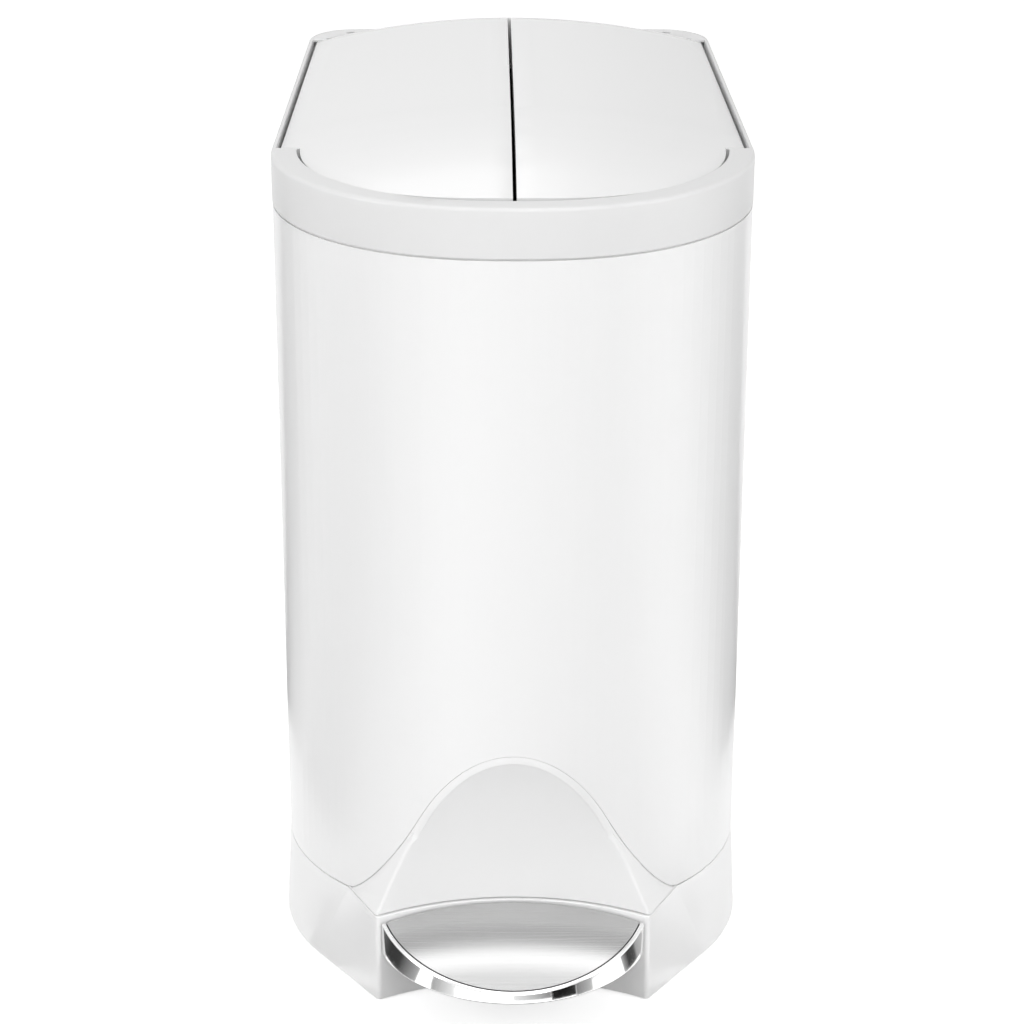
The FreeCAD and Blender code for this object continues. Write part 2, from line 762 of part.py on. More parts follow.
# ---------------------------------------------------------------- lid drive
def make_drive_shaft():
    """Right-hand shaft from the lid, through the rim's saddle, to its crank."""
    start = lid_rear_y - hinge_lug_length
    end = crank_y + crank_thickness / 2
    return along_hinge(drive_shaft_radius, (start + end) / 2, end - start)


def crank_pin_place(angle):
    """Right-hand crank pin, with the crank at an angle below the horizontal."""
    centre = hinge_point(crank_y)
    turn = math.radians(angle)
    return V(centre.x - crank_radius * math.cos(turn), crank_y, hinge_z - crank_radius * math.sin(turn))


def make_crank():
    """Right-hand crank, fixed on the drive shaft."""
    low = crank_y - crank_thickness / 2
    pin = crank_pin_place(crank_rest_angle)
    hub_x = hinge_point(crank_y).x
    hub = cylinder(crank_hub_radius, V(hub_x, low, hinge_z), Y_AXIS, crank_thickness)
    eye = cylinder(crank_pin_radius + crank_eye_wall, V(pin.x, low, pin.z), Y_AXIS, crank_thickness)
    width = 2 * crank_hub_radius
    arm = Part.makeBox(crank_radius, crank_thickness, width, V(-crank_radius, low, -width / 2))
    arm.rotate(ORIGIN, Y_AXIS, -crank_rest_angle)
    arm.translate(V(hub_x, 0, hinge_z))
    crank = fused([hub, eye, arm]).cut(along_hinge(drive_shaft_radius, crank_y, 3 * crank_thickness))
    bore = V(pin.x, low - overcut, pin.z)
    return crank.cut(cylinder(crank_pin_radius, bore, Y_AXIS, crank_thickness + 2 * overcut))


def make_crank_pin():
    """Right-hand pin that rides in the cam plate's slot."""
    pin = crank_pin_place(crank_rest_angle)
    start = crank_y - crank_thickness / 2
    end = cam_plate_y + cam_plate_thickness / 2 + crank_pin_end
    return cylinder(crank_pin_radius, V(pin.x, start, pin.z), Y_AXIS, end - start)


def slot_path():
    """Right-hand slot centre line in the cam plate at rest, from the crank's whole travel."""
    points = []
    for step in range(cam_steps + 1):
        part = step / cam_steps
        pin = crank_pin_place(crank_rest_angle - part * lid_open_angle)
        points.append(V(pin.x, 0, pin.z - part * cam_lift))
    return points


def slot_block(radius, y0, y1):
    """The slot's shape, as overlapping rounds along its centre line."""
    points = slot_path()
    rounds = []
    for start, end in zip(points, points[1:]):
        run = end.sub(start)
        block = Part.makeBox(run.Length, y1 - y0, 2 * radius, V(0, 0, -radius))
        block.rotate(ORIGIN, Y_AXIS, -math.degrees(math.atan2(run.z, run.x)))
        block.translate(V(start.x, y0, start.z))
        rounds.append(block)
    rounds += [cylinder(radius, V(point.x, y0, point.z), Y_AXIS, y1 - y0) for point in points]
    return fused(rounds)


def bar_z():
    """Height of the cam plate's bar."""
    return slot_path()[-1].z


def make_cam_plate():
    """Steel crosshead with a curved, open-topped slot under each crank pin."""
    low = cam_plate_y - cam_plate_thickness / 2
    high = cam_plate_y + cam_plate_thickness / 2
    head = slot_block(crank_pin_radius + cam_clearance + cam_wall, low, high)
    reach = slot_path()[-1].x + crank_pin_radius
    z = bar_z()
    bar = box(-reach, reach, low, high, z - cam_bar_below, z + cam_bar_above)
    hub = box(-cam_hub_width / 2, cam_hub_width / 2, low, rod_y + cam_hub_depth,
              z + cam_bar_above - cam_hub_height, z + cam_bar_above)
    lug = box(damper_x - lug_width / 2, damper_x + lug_width / 2, low, rod_y + cam_hub_depth,
              z - lug_thickness, z)
    plate = fused([head, mirrored(head), bar, hub, lug])
    slot = slot_block(crank_pin_radius + cam_clearance, low - overcut, high + overcut)
    plate = plate.cut(slot).cut(mirrored(slot))
    plate = clipped(plate, z=(0, deck_under_z - cam_clearance - cam_lift))
    for x, radius in ((0, rod_radius), (damper_x, damper_rod_radius)):
        plate = plate.cut(cylinder(radius, V(x, rod_y, z - cam_hub_height), Z_AXIS, 2 * cam_hub_height))
    return plate


def make_push_rod():
    """Long rod from the pedal lever up to the cam plate."""
    low = lever_pin_z + foot_socket
    return cylinder(rod_radius, V(0, rod_y, low), Z_AXIS, bar_z() + rod_top - low)


def make_rod_foot():
    """Plastic foot on the rod, with a slot for the lever's pin."""
    foot = box(-foot_width / 2, foot_width / 2, rod_y - foot_depth / 2, rod_y + foot_depth / 2,
               lever_pin_z - foot_below, lever_pin_z + foot_above)
    bore = lever_pin_radius + running_gap
    front, rear = rod_y - foot_travel, rod_y + foot_travel
    foot = foot.cut(across(bore, front, lever_pin_z)).cut(across(bore, rear, lever_pin_z))
    foot = foot.cut(box(-far, far, front, rear, lever_pin_z - bore, lever_pin_z + bore))
    return foot.cut(cylinder(rod_radius, V(0, rod_y, lever_pin_z + foot_socket), Z_AXIS, foot_above))


def make_rod_guides():
    """Two guides on the back wall that keep the rod upright."""
    guides = []
    for z in (guide_low_z, guide_high_z):
        guide = box(-guide_width / 2, guide_width / 2, rod_y - guide_front, back_y - sheet,
                    z, z + guide_length)
        guides.append(guide.cut(cylinder(rod_radius + running_gap, V(0, rod_y, 0), Z_AXIS, rim_top)))
    return Part.makeCompound(guides)


# ---------------------------------------------------------------- damper
def make_damper_body():
    """Damper cylinder that slows the lids' fall."""
    top = bar_z() - damper_drop
    foot = V(damper_x, rod_y, top - damper_length)
    tube = cylinder(damper_radius, foot, Z_AXIS, damper_length)
    bore = cylinder(damper_rod_radius + running_gap, foot + V(0, 0, damper_length / 2), Z_AXIS, damper_length)
    chamber = cylinder(damper_radius - damper_wall, foot + V(0, 0, damper_wall), Z_AXIS,
                       damper_length - damper_wall - damper_gland)
    return tube.cut(bore).cut(chamber)


def make_damper_rod():
    """Damper rod with its piston, fixed to the cam plate."""
    low = bar_z() - damper_drop - damper_rod_insert
    rod = cylinder(damper_rod_radius, V(damper_x, rod_y, low), Z_AXIS, bar_z() - low)
    piston = cylinder(damper_radius - damper_wall - running_gap, V(damper_x, rod_y, low - piston_length / 2),
                      Z_AXIS, piston_length)
    return fused([rod, piston])


def make_damper_clip():
    """Bracket that holds the damper on the back wall."""
    low = bar_z() - damper_drop - clip_drop
    clip = box(damper_x - clip_width / 2, damper_x + clip_width / 2, rod_y - clip_front, back_y - sheet,
               low, low + clip_height)
    return clip.cut(cylinder(damper_radius, V(damper_x, rod_y, low - clip_height), Z_AXIS, 3 * clip_height))


# ---------------------------------------------------------------- pedal
def pedal_plan(inset, z0, z1):
    """The pedal's plan, with its front arc drawn in by an inset, as a block."""
    rear = cylinder(toe_arc_radius - pedal_gap, V(0, toe_arc_y, z0), Z_AXIS, z1 - z0)
    front = cylinder(pedal_front_radius - inset, V(0, pedal_arc_y, z0), Z_AXIS, z1 - z0)
    return rear.common(front)


def pedal_curve_centre():
    """Centre of the pedal's gently rounded top."""
    start = V(0, recess_y - pedal_gap, line_z - pedal_top_drop)
    angle = math.atan(pedal_slope)
    return start + V(0, math.sin(angle), -math.cos(angle)) * pedal_curve_radius


def under_pedal_top(drop):
    """Everything under the pedal's top, lowered by a drop."""
    centre = pedal_curve_centre()
    return across(pedal_curve_radius - drop, centre.y, centre.z)


def make_pedal_plate():
    """Brushed steel tread."""
    plan = pedal_plan(pedal_lip + pedal_lip_gap, line_z - pedal_skirt_drop, line_z + pedal_skirt_drop)
    return plan.common(under_pedal_top(0)).cut(under_pedal_top(pedal_plate))


def make_pedal_lip():
    """Polished steel wall round the front of the tread."""
    low, high = line_z - pedal_skirt_drop, line_z + pedal_skirt_drop
    wall = pedal_plan(0, low, high).cut(pedal_plan(pedal_lip, low - overcut, high + overcut))
    return wall.common(under_pedal_top(-pedal_lip_proud))


def lever_block(width, front, back):
    """A bar along the lever's line, centred on the pivot's height."""
    bar = Part.makeBox(width, back - front, lever_height, V(-width / 2, front - pivot_y, -lever_height / 2))
    bar.rotate(ORIGIN, X_AXIS, -lever_tilt)
    bar.translate(V(0, pivot_y, pivot_z))
    return bar


def pedal_screw_places():
    """Where the heads of the pedal's two screws meet the lever."""
    y = lever_front_y + pedal_screw_back
    rise = (pivot_y - y + screw_head_radius) * math.tan(math.radians(lever_tilt))
    z = pivot_z + rise + lever_height / 2 - lever_wall
    return [V(x, y, z - 2 * screw_head_radius * math.tan(math.radians(lever_tilt)) - running_gap)
            for x in (-pedal_screw_x, pedal_screw_x)]


def pedal_screw_shank(place):
    """A screw's shank, up to a cover of plastic under the tread."""
    centre = pedal_curve_centre()
    ahead = place.y - screw_radius - centre.y
    tread_z = centre.z + math.sqrt((pedal_curve_radius - pedal_plate) ** 2 - ahead ** 2)
    return cylinder(screw_radius, place, Z_AXIS, tread_z - pedal_screw_cover - place.z)


def make_pedal_core():
    """Plastic core that fills the pedal and grips the lever."""
    low = line_z - pedal_skirt_drop + pedal_core_rise
    core = pedal_plan(pedal_lip + pedal_lip_gap, low, line_z + pedal_skirt_drop)
    core = core.common(under_pedal_top(pedal_plate + pedal_core_gap))
    core = clipped(core, y=(-far, recess_y - pedal_core_back))
    core = core.cut(lever_block(lever_width, lever_front_y, 0))
    for place in pedal_screw_places():
        core = core.cut(pedal_screw_shank(place))
    return core


def make_pedal_lever():
    """Steel channel from the pedal, over the axle, to the rod's foot."""
    end_y = rod_y + lever_rear
    inner = lever_width - 2 * lever_wall
    hollow = lever_block(inner, lever_front_y - lever_rear, end_y + lever_rear)
    hollow.translate(V(0, 0, -lever_wall))
    channel = lever_block(lever_width, lever_front_y, end_y).cut(hollow)
    channel = channel.cut(box(-inner / 2, inner / 2, rod_y - lever_fork, end_y + lever_rear, 0, line_z))
    channel = channel.cut(across(axle_radius, pivot_y, pivot_z))
    for place in pedal_screw_places():
        channel = channel.cut(pedal_screw_shank(place))
    return channel.cut(across(lever_pin_radius, rod_y, lever_pin_z))


def make_pedal_axle():
    """Steel axle fixed in the lever."""
    return cylinder(axle_radius, V(-axle_length / 2, pivot_y, pivot_z), X_AXIS, axle_length)


def make_axle_bushes():
    """Flanged bushes between the axle and the base's brackets."""
    start = V(lever_width / 2 + bracket_gap - bush_flange_thickness, pivot_y, pivot_z)
    flange = cylinder(axle_radius + bush_flange, start, X_AXIS, bush_flange_thickness)
    sleeve_length = bush_flange_thickness + bracket_thickness
    sleeve = cylinder(axle_radius + running_gap + bush_wall, start, X_AXIS, sleeve_length)
    bush = fused([flange, sleeve]).cut(cylinder(axle_radius + running_gap, start, X_AXIS, sleeve_length))
    return both_sides(bush)


def make_axle_clips():
    """Retaining washers on the axle's ends."""
    start = V(lever_width / 2 + bracket_gap + bracket_thickness + axle_clip_gap, pivot_y, pivot_z)
    clip = cylinder(axle_radius + axle_clip_wall, start, X_AXIS, axle_clip_thickness)
    return both_sides(clip.cut(cylinder(axle_radius, start, X_AXIS, axle_clip_thickness)))


def make_pedal_screws():
    """Two screws that hold the lever up in the pedal's core."""
    screws = []
    for place in pedal_screw_places():
        head = cylinder(screw_head_radius, place - V(0, 0, pedal_head_height), Z_AXIS, pedal_head_height)
        screws.append(fused([head, pedal_screw_shank(place)]))
    return Part.makeCompound(screws)


def make_lever_pin():
    """Pin across the lever's fork that lifts the rod."""
    return cylinder(lever_pin_radius, V(-lever_width / 2, rod_y, lever_pin_z), X_AXIS, lever_width)


# ---------------------------------------------------------------- bucket and lid stops
def make_bucket():
    """Inner bucket that hangs by its flange on the rim's collar."""
    floor_z = line_z + bucket_floor_gap
    flange_z = shelf_z + collar_rise
    top = flange_z + bucket_flange_thickness
    limits = {"back": bucket_back_y + bucket_inset, "corner": bucket_corner + bucket_inset}
    wall = plan_block(-bucket_inset, floor_z, top, **limits)
    flange = plan_block(-bucket_inset + bucket_flange, flange_z, top, **limits)
    inside = plan_block(-bucket_inset - bucket_wall, floor_z + bucket_wall, top + overcut, **limits)
    return wall.fuse(flange).cut(inside)


def make_bumpers():
    """Soft stops under the front edge of the lids."""
    height = rim_top - lid_skirt - bumper_gap - shelf_z
    radius = front_radius - rim_land - bumper_inset
    stops = []
    for x in (-bumper_outer_x, -bumper_inner_x, bumper_inner_x, bumper_outer_x):
        place = V(x, front_centre_y - math.sqrt(radius ** 2 - x ** 2), shelf_z)
        stops.append(cylinder(bumper_radius, place, Z_AXIS, height))
    return Part.makeCompound(stops)


def main():
    """Build every piece and write one file for each."""
    pieces = {
        "base_moulding": make_base(),
        "base_floor_plate": make_floor_plate(),
        "floor_plate_screws": make_floor_screws(),
        "foot_pads": make_foot_pads(),
        "toe_arch_panel": make_toe_arch(),
        "steel_body": make_body(),
        "rim_frame": make_rim(),
        "rear_deck": make_rear_deck(),
        "hinge_pins": both_sides(front_pin(0)),
        "cam_plate": make_cam_plate(),
        "push_rod": make_push_rod(),
        "rod_foot": make_rod_foot(),
        "rod_guides": make_rod_guides(),
        "damper_body": make_damper_body(),
        "damper_rod": make_damper_rod(),
        "damper_clip": make_damper_clip(),
        "pedal_plate": make_pedal_plate(),
        "pedal_lip": make_pedal_lip(),
        "pedal_core": make_pedal_core(),
        "pedal_lever": make_pedal_lever(),
        "pedal_axle": make_pedal_axle(),
        "axle_bushes": make_axle_bushes(),
        "axle_clips": make_axle_clips(),
        "pedal_screws": make_pedal_screws(),
        "lever_pin": make_lever_pin(),
        "inner_bucket": make_bucket(),
        "lid_bumpers": make_bumpers(),
    }
    paired = {
        "lid": make_lid(),
        "lid_liner": make_liner(),
        "drive_shaft": make_drive_shaft(),
        "crank": make_crank(),
        "crank_pin": make_crank_pin(),
    }
    for name, shape in paired.items():
        pieces[name + "_right"] = shape
        pieces[name + "_left"] = mirrored(shape)
    os.makedirs("parts", exist_ok=True)
    for name, shape in pieces.items():
        shape.translate(V(0, -origin_shift, 0))
        shape.exportStep("parts/" + name + ".step")
        size = shape.BoundBox
        print(f"{name:20s} valid {shape.isValid()} solids {len(shape.Solids)} volume {shape.Volume:10.1f}"
              f" x {size.XMin:7.1f} {size.XMax:7.1f} y {size.YMin:7.1f} {size.YMax:7.1f}"
              f" z {size.ZMin:6.1f} {size.ZMax:6.1f}")
    return pieces


main()
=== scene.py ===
"""Studio scene of a pedal bin with a butterfly lid, dressed over its CAD frame."""
import json
import logging
import math
from dataclasses import dataclass, field
from enum import Enum
from typing import Dict, List, Optional, Sequence, Tuple, Union

import bmesh
import bpy
from mathutils import Matrix, Vector

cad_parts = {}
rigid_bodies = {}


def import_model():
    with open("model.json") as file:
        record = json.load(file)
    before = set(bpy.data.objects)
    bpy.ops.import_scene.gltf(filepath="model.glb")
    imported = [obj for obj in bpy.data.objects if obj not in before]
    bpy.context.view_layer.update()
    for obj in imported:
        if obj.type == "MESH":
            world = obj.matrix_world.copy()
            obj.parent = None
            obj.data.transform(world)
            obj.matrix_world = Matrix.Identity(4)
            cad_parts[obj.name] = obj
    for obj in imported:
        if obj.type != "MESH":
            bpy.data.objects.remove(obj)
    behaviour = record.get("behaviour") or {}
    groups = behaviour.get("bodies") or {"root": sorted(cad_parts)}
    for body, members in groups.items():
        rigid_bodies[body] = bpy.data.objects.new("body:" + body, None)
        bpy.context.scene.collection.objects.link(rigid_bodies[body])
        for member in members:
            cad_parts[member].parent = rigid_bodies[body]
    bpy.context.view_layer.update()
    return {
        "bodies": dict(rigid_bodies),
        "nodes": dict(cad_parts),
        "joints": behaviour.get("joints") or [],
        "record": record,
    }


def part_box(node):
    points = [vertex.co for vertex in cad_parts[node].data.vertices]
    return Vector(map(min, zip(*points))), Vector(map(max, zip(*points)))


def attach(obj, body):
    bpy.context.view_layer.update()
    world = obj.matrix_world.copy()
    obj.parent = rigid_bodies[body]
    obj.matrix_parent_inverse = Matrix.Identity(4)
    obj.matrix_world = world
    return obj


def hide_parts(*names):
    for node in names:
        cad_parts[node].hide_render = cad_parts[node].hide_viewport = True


LOG = logging.getLogger("pedal_bin")
Pair = Tuple[float, float]
Colour = Tuple[float, float, float]
Point = Tuple[float, float, float]


def rgba(colour: Colour) -> Tuple[float, float, float, float]:
    """Return a colour with full opacity."""
    return (*colour, 1.0)


# ---------------------------------------------------------------- node trees
class Sum:
    """A number inside a node tree that ordinary signs can work on."""

    def __init__(self, tree: bpy.types.NodeTree, value: "Operand") -> None:
        """Keep a socket or a plain number with its tree."""
        self.tree = tree
        self.value = value

    def _math(self, operation: str, *others: "Operand") -> "Sum":
        """Return the outcome of one Math node.

        Args:
            operation: The node's operation.
            others: What follows this number in it.

        Returns:
            The outcome, ready for the next sign.
        """
        node = self.tree.nodes.new("ShaderNodeMath")
        node.operation = operation
        for index, item in enumerate((self, *others)):
            value = item.value if isinstance(item, Sum) else item
            if isinstance(value, (int, float)):
                node.inputs[index].default_value = value
            else:
                self.tree.links.new(value, node.inputs[index])
        return Sum(self.tree, node.outputs[0])

    def __add__(self, other: "Operand") -> "Sum":
        """Add."""
        return self._math("ADD", other)

    def __sub__(self, other: "Operand") -> "Sum":
        """Take away."""
        return self._math("SUBTRACT", other)

    def __rsub__(self, other: "Operand") -> "Sum":
        """Be taken away from a plain number."""
        return Sum(self.tree, other) - self

    def __mul__(self, other: "Operand") -> "Sum":
        """Multiply."""
        return self._math("MULTIPLY", other)

    def __truediv__(self, other: "Operand") -> "Sum":
        """Divide."""
        return self._math("DIVIDE", other)

    def __gt__(self, other: "Operand") -> "Sum":
        """Give 1 where this is the greater."""
        return self._math("GREATER_THAN", other)

    def larger(self, other: "Operand") -> "Sum":
        """Give the larger of the two."""
        return self._math("MAXIMUM", other)

    def root(self) -> "Sum":
        """Take the square root."""
        return self._math("SQRT")

    def sine(self) -> "Sum":
        """Take the sine of an angle in radians."""
        return self._math("SINE")


Operand = Union[Sum, float, bpy.types.NodeSocket]


def add_node(tree: bpy.types.NodeTree, kind: str, settings: Optional[Dict[str, object]] = None,
             **inputs: object) -> bpy.types.Node:
    """Add a node to a tree.

    Args:
        tree: The tree.
        kind: The node's type.
        settings: Properties of the node itself.
        inputs: Values or sockets for its inputs, with _ for each space.

    Returns:
        The node.
    """
    node = tree.nodes.new(kind)
    for label, value in (settings or {}).items():
        setattr(node, label, value)
    for label, value in inputs.items():
        socket = next(item for item in node.inputs if item.name == label.replace("_", " ") and item.enabled)
        value = value.value if isinstance(value, Sum) else value
        if isinstance(value, bpy.types.NodeSocket):
            tree.links.new(value, socket)
        else:
            socket.default_value = value
    return node


def mixed_shader(tree: bpy.types.NodeTree, share: Operand, under: bpy.types.NodeSocket,
                 over: bpy.types.NodeSocket) -> bpy.types.NodeSocket:
    """Mix two shaders.

    Args:
        tree: The material's or the world's tree.
        share: Share of the second shader.
        under: The first shader.
        over: The second shader.

    Returns:
        The mixed shader.
    """
    mix = add_node(tree, "ShaderNodeMixShader", Fac=share)
    tree.links.new(under, mix.inputs[1])
    tree.links.new(over, mix.inputs[2])
    return mix.outputs[0]


class NamedTree:
    """A node tree with named inputs and outputs."""

    def __init__(self, name: str, kind: str, inputs: Dict[str, str], outputs: Dict[str, str]) -> None:
        """Make the tree with its sockets.

        Args:
            name: Name of the tree.
            kind: Type of the tree.
            inputs: Name and type of each input.
            outputs: Name and type of each output.
        """
        self.group = bpy.data.node_groups.new(name, kind)
        for way, sockets in (("INPUT", inputs), ("OUTPUT", outputs)):
            for label, socket_type in sockets.items():
                self.group.interface.new_socket(label, in_out=way, socket_type=socket_type)
        self.start = self.group.nodes.new("NodeGroupInput")
        self.end = self.group.nodes.new("NodeGroupOutput")

    def size(self, label: str) -> Sum:
        """Return one of the tree's named inputs."""
        return Sum(self.group, self.start.outputs[label])

    def node(self, kind: str, settings: Optional[Dict[str, object]] = None,
             **inputs: object) -> bpy.types.Node:
        """Add a node, as add_node does."""
        return add_node(self.group, kind, settings, **inputs)


# ---------------------------------------------------------------- shader groups
class Effect(NamedTree):
    """A shader node group on the piece's own coordinates."""

    def __init__(self, name: str, inputs: Dict[str, Union[float, Colour]], outputs: Sequence[str]) -> None:
        """Make the group.

        Args:
            name: Name of the group.
            inputs: Name and usual value of each input, where a triple is a colour.
            outputs: Name of each output, of which Colour carries a colour.
        """
        kinds = {label: "NodeSocketColor" if label == "Colour" else "NodeSocketFloat"
                 for label in (*inputs, *outputs)}
        super().__init__(name, "ShaderNodeTree", {label: kinds[label] for label in inputs},
                         {label: kinds[label] for label in outputs})
        for item in self.group.interface.items_tree:
            if item.in_out == "INPUT":
                value = inputs[item.name]
                item.default_value = rgba(value) if isinstance(value, tuple) else value
        self.place = self.node("ShaderNodeTexCoord").outputs["Object"]

    def noise(self, scale: Operand, detail: float, place: Optional[bpy.types.NodeSocket] = None) -> Sum:
        """Return noise from 0 to 1.

        Args:
            scale: Its frequency, per metre.
            detail: How many finer layers it has.
            place: Where it is read, or None for the plain coordinates.

        Returns:
            The noise.
        """
        vector = self.place if place is None else place
        texture = self.node("ShaderNodeTexNoise", Vector=vector, Scale=scale, Detail=detail)
        return Sum(self.group, texture.outputs["Fac"])

    def ranged(self, value: Operand, settings: Optional[Dict[str, object]] = None, **ends: Operand) -> Sum:
        """Bring a value from one range to another, held at both ends.

        Args:
            value: The value.
            settings: Properties of the node.
            ends: Its four ends, each 0 or 1 where it isn't given.

        Returns:
            The new value.
        """
        change = self.node("ShaderNodeMapRange", settings, Value=value, **ends)
        return Sum(self.group, change.outputs["Result"])

    def tinted(self, share: Sum) -> bpy.types.NodeSocket:
        """Darken or lighten the group's colour.

        Args:
            share: What the colour is multiplied by.

        Returns:
            The new colour.
        """
        shade = self.node("ShaderNodeVectorMath", {"operation": "SCALE"}, Scale=share)
        self.group.links.new(self.start.outputs["Colour"], shade.inputs[0])
        return shade.outputs[0]

    def give(self, **outputs: Union[Sum, bpy.types.NodeSocket]) -> bpy.types.NodeTree:
        """Close the group.

        Args:
            outputs: What each output gives.

        Returns:
            The finished group.
        """
        for label, value in outputs.items():
            self.group.links.new(value.value if isinstance(value, Sum) else value, self.end.inputs[label])
        return self.group


class Texture(Enum):
    """The effect that gives a finish its grain."""

    MOULDED = "moulded_texture"
    COATED = "powder_coat"
    BRUSHED = "brushed_lines"


@dataclass
class SurfaceEffects:
    """Shader groups shared by the bin's finishes."""

    moulded_grain: float = 900.0
    moulded_cloud: float = 9.0
    moulded_gloss_change: float = 0.08
    coat_grain: float = 260.0
    coat_cloud: float = 5.0
    coat_gloss_change: float = 0.02
    brushed_grain: float = 2600.0
    brushed_length: float = 14.0
    brushed_gloss_change: float = 0.25
    worn_from: float = 0.52
    worn_to: float = 0.62
    worn_patches: float = 60.0
    dust_height: float = 0.05
    dust_patches: float = 34.0
    grains: Dict[Texture, bpy.types.NodeTree] = field(init=False)
    wear: bpy.types.NodeTree = field(init=False)
    dust: bpy.types.NodeTree = field(init=False)

    def __post_init__(self) -> None:
        """Build every shared group once."""
        self.grains = {Texture.MOULDED: self._moulded(), Texture.COATED: self._coated(),
                       Texture.BRUSHED: self._brushed()}
        self.wear = self._edge_wear()
        self.dust = self._floor_dust()

    @staticmethod
    def _grain(texture: Texture, scale: float, **more: float) -> Effect:
        """Start the group of a grain.

        Args:
            texture: Which grain.
            scale: Its usual frequency.
            more: Inputs that only this grain has.

        Returns:
            The group, with its inputs and outputs.
        """
        inputs = {"Grain": scale, **more, "Tone": 0.02, "Roughness": 0.3, "Colour": (0.8, 0.8, 0.8)}
        return Effect(texture.value, inputs, ("Colour", "Roughness", "Height"))

    def _moulded(self) -> bpy.types.NodeTree:
        """Build fine moulded texture.

        Returns:
            The group, with a soft change of tone and a fine height.
        """
        effect = self._grain(Texture.MOULDED, self.moulded_grain)
        fine = effect.noise(effect.size("Grain"), detail=3.0)
        broad = effect.noise(self.moulded_cloud, detail=2.0)
        tone = effect.size("Tone")
        return effect.give(Colour=effect.tinted(broad * tone + (1.0 - tone * 0.5)), Height=fine,
                           Roughness=broad * self.moulded_gloss_change + effect.size("Roughness"))

    def _coated(self) -> bpy.types.NodeTree:
        """Build powder coat.

        Returns:
            The group, with an orange-peel height and a faint change of gloss.
        """
        effect = self._grain(Texture.COATED, self.coat_grain)
        peel = effect.noise(effect.size("Grain"), detail=1.0)
        cloud = effect.noise(self.coat_cloud, detail=3.0)
        cloud = effect.ranged(cloud, {"interpolation_type": "SMOOTHERSTEP"})
        return effect.give(Colour=effect.tinted(1.0 - cloud * effect.size("Tone")), Height=peel,
                           Roughness=cloud * self.coat_gloss_change + effect.size("Roughness"))

    def _brushed(self) -> bpy.types.NodeTree:
        """Build brushed metal.

        Returns:
            The group, with lines that run along X.
        """
        effect = self._grain(Texture.BRUSHED, self.brushed_grain, Length=self.brushed_length)
        fineness = effect.size("Grain")
        stretch = effect.node("ShaderNodeCombineXYZ", X=effect.size("Length"), Y=fineness, Z=fineness)
        pulled = effect.node("ShaderNodeVectorMath", {"operation": "MULTIPLY"}, Vector=effect.place)
        effect.group.links.new(stretch.outputs[0], pulled.inputs[1])
        lines = effect.noise(1.0, detail=4.0, place=pulled.outputs[0])
        centred = lines - 0.5
        return effect.give(Colour=effect.tinted(centred * effect.size("Tone") + 1.0), Height=lines,
                           Roughness=centred * self.brushed_gloss_change + effect.size("Roughness"))

    def _edge_wear(self) -> bpy.types.NodeTree:
        """Build edge wear.

        Returns:
            The group, with a mask that is high on worn outer edges.
        """
        effect = Effect("edge_wear", {"Amount": 0.3}, ("Mask",))
        pointed = effect.node("ShaderNodeNewGeometry").outputs["Pointiness"]
        edges = effect.ranged(pointed, From_Min=self.worn_from, From_Max=self.worn_to)
        patches = effect.noise(self.worn_patches, detail=4.0)
        return effect.give(Mask=edges * patches * effect.size("Amount"))

    def _floor_dust(self) -> bpy.types.NodeTree:
        """Build dust.

        Returns:
            The group, with a faint mask near the floor, broken up by noise.
        """
        effect = Effect("floor_dust", {"Amount": 0.06}, ("Mask",))
        height = effect.node("ShaderNodeSeparateXYZ", Vector=effect.place).outputs["Z"]
        low = effect.ranged(height, From_Max=self.dust_height, To_Min=1.0, To_Max=0.0)
        patches = effect.noise(self.dust_patches, detail=5.0)
        return effect.give(Mask=low * patches * effect.size("Amount"))


# ---------------------------------------------------------------- finishes
@dataclass(frozen=True)
class Finish:
    """A finish of one of the bin's materials."""

    name: str
    colour: Colour
    texture: Texture
    roughness: float
    metallic: float = 0.0
    grain: float = 0.0
    bump: float = 0.02
    bump_depth: float = 0.00005
    tone: float = 0.02
    coat: float = 0.0
    coat_roughness: float = 0.1
    wear: float = 0.0
    wear_colour: Colour = (0.6, 0.6, 0.6)
    dust: float = 0.0
    dust_colour: Colour = (0.42, 0.40, 0.37)

    def build(self, effects: SurfaceEffects) -> bpy.types.Material:
        """Make the material.

        Args:
            effects: The shared shader groups.

        Returns:
            The finished material.
        """
        material = bpy.data.materials.new(self.name)
        material.use_nodes = True
        tree = material.node_tree
        shader = tree.nodes["Principled BSDF"]
        shader.inputs["Metallic"].default_value = self.metallic
        shader.inputs["Coat Weight"].default_value = self.coat
        shader.inputs["Coat Roughness"].default_value = self.coat_roughness
        grain = add_node(tree, "ShaderNodeGroup", {"node_tree": effects.grains[self.texture]},
                         Colour=rgba(self.colour), Roughness=self.roughness, Tone=self.tone)
        if self.grain:
            grain.inputs["Grain"].default_value = self.grain
        colour = grain.outputs["Colour"]
        for amount, group, over in ((self.wear, effects.wear, self.wear_colour),
                                    (self.dust, effects.dust, self.dust_colour)):
            if amount > 0:
                mask = add_node(tree, "ShaderNodeGroup", {"node_tree": group}, Amount=amount).outputs["Mask"]
                mix = add_node(tree, "ShaderNodeMix", {"data_type": "RGBA"}, Factor=mask, A=colour,
                               B=rgba(over))
                colour = mix.outputs["Result"]
        bump = add_node(tree, "ShaderNodeBump", Strength=self.bump, Distance=self.bump_depth,
                        Height=grain.outputs["Height"])
        tree.links.new(colour, shader.inputs["Base Color"])
        tree.links.new(grain.outputs["Roughness"], shader.inputs["Roughness"])
        tree.links.new(bump.outputs["Normal"], shader.inputs["Normal"])
        return material


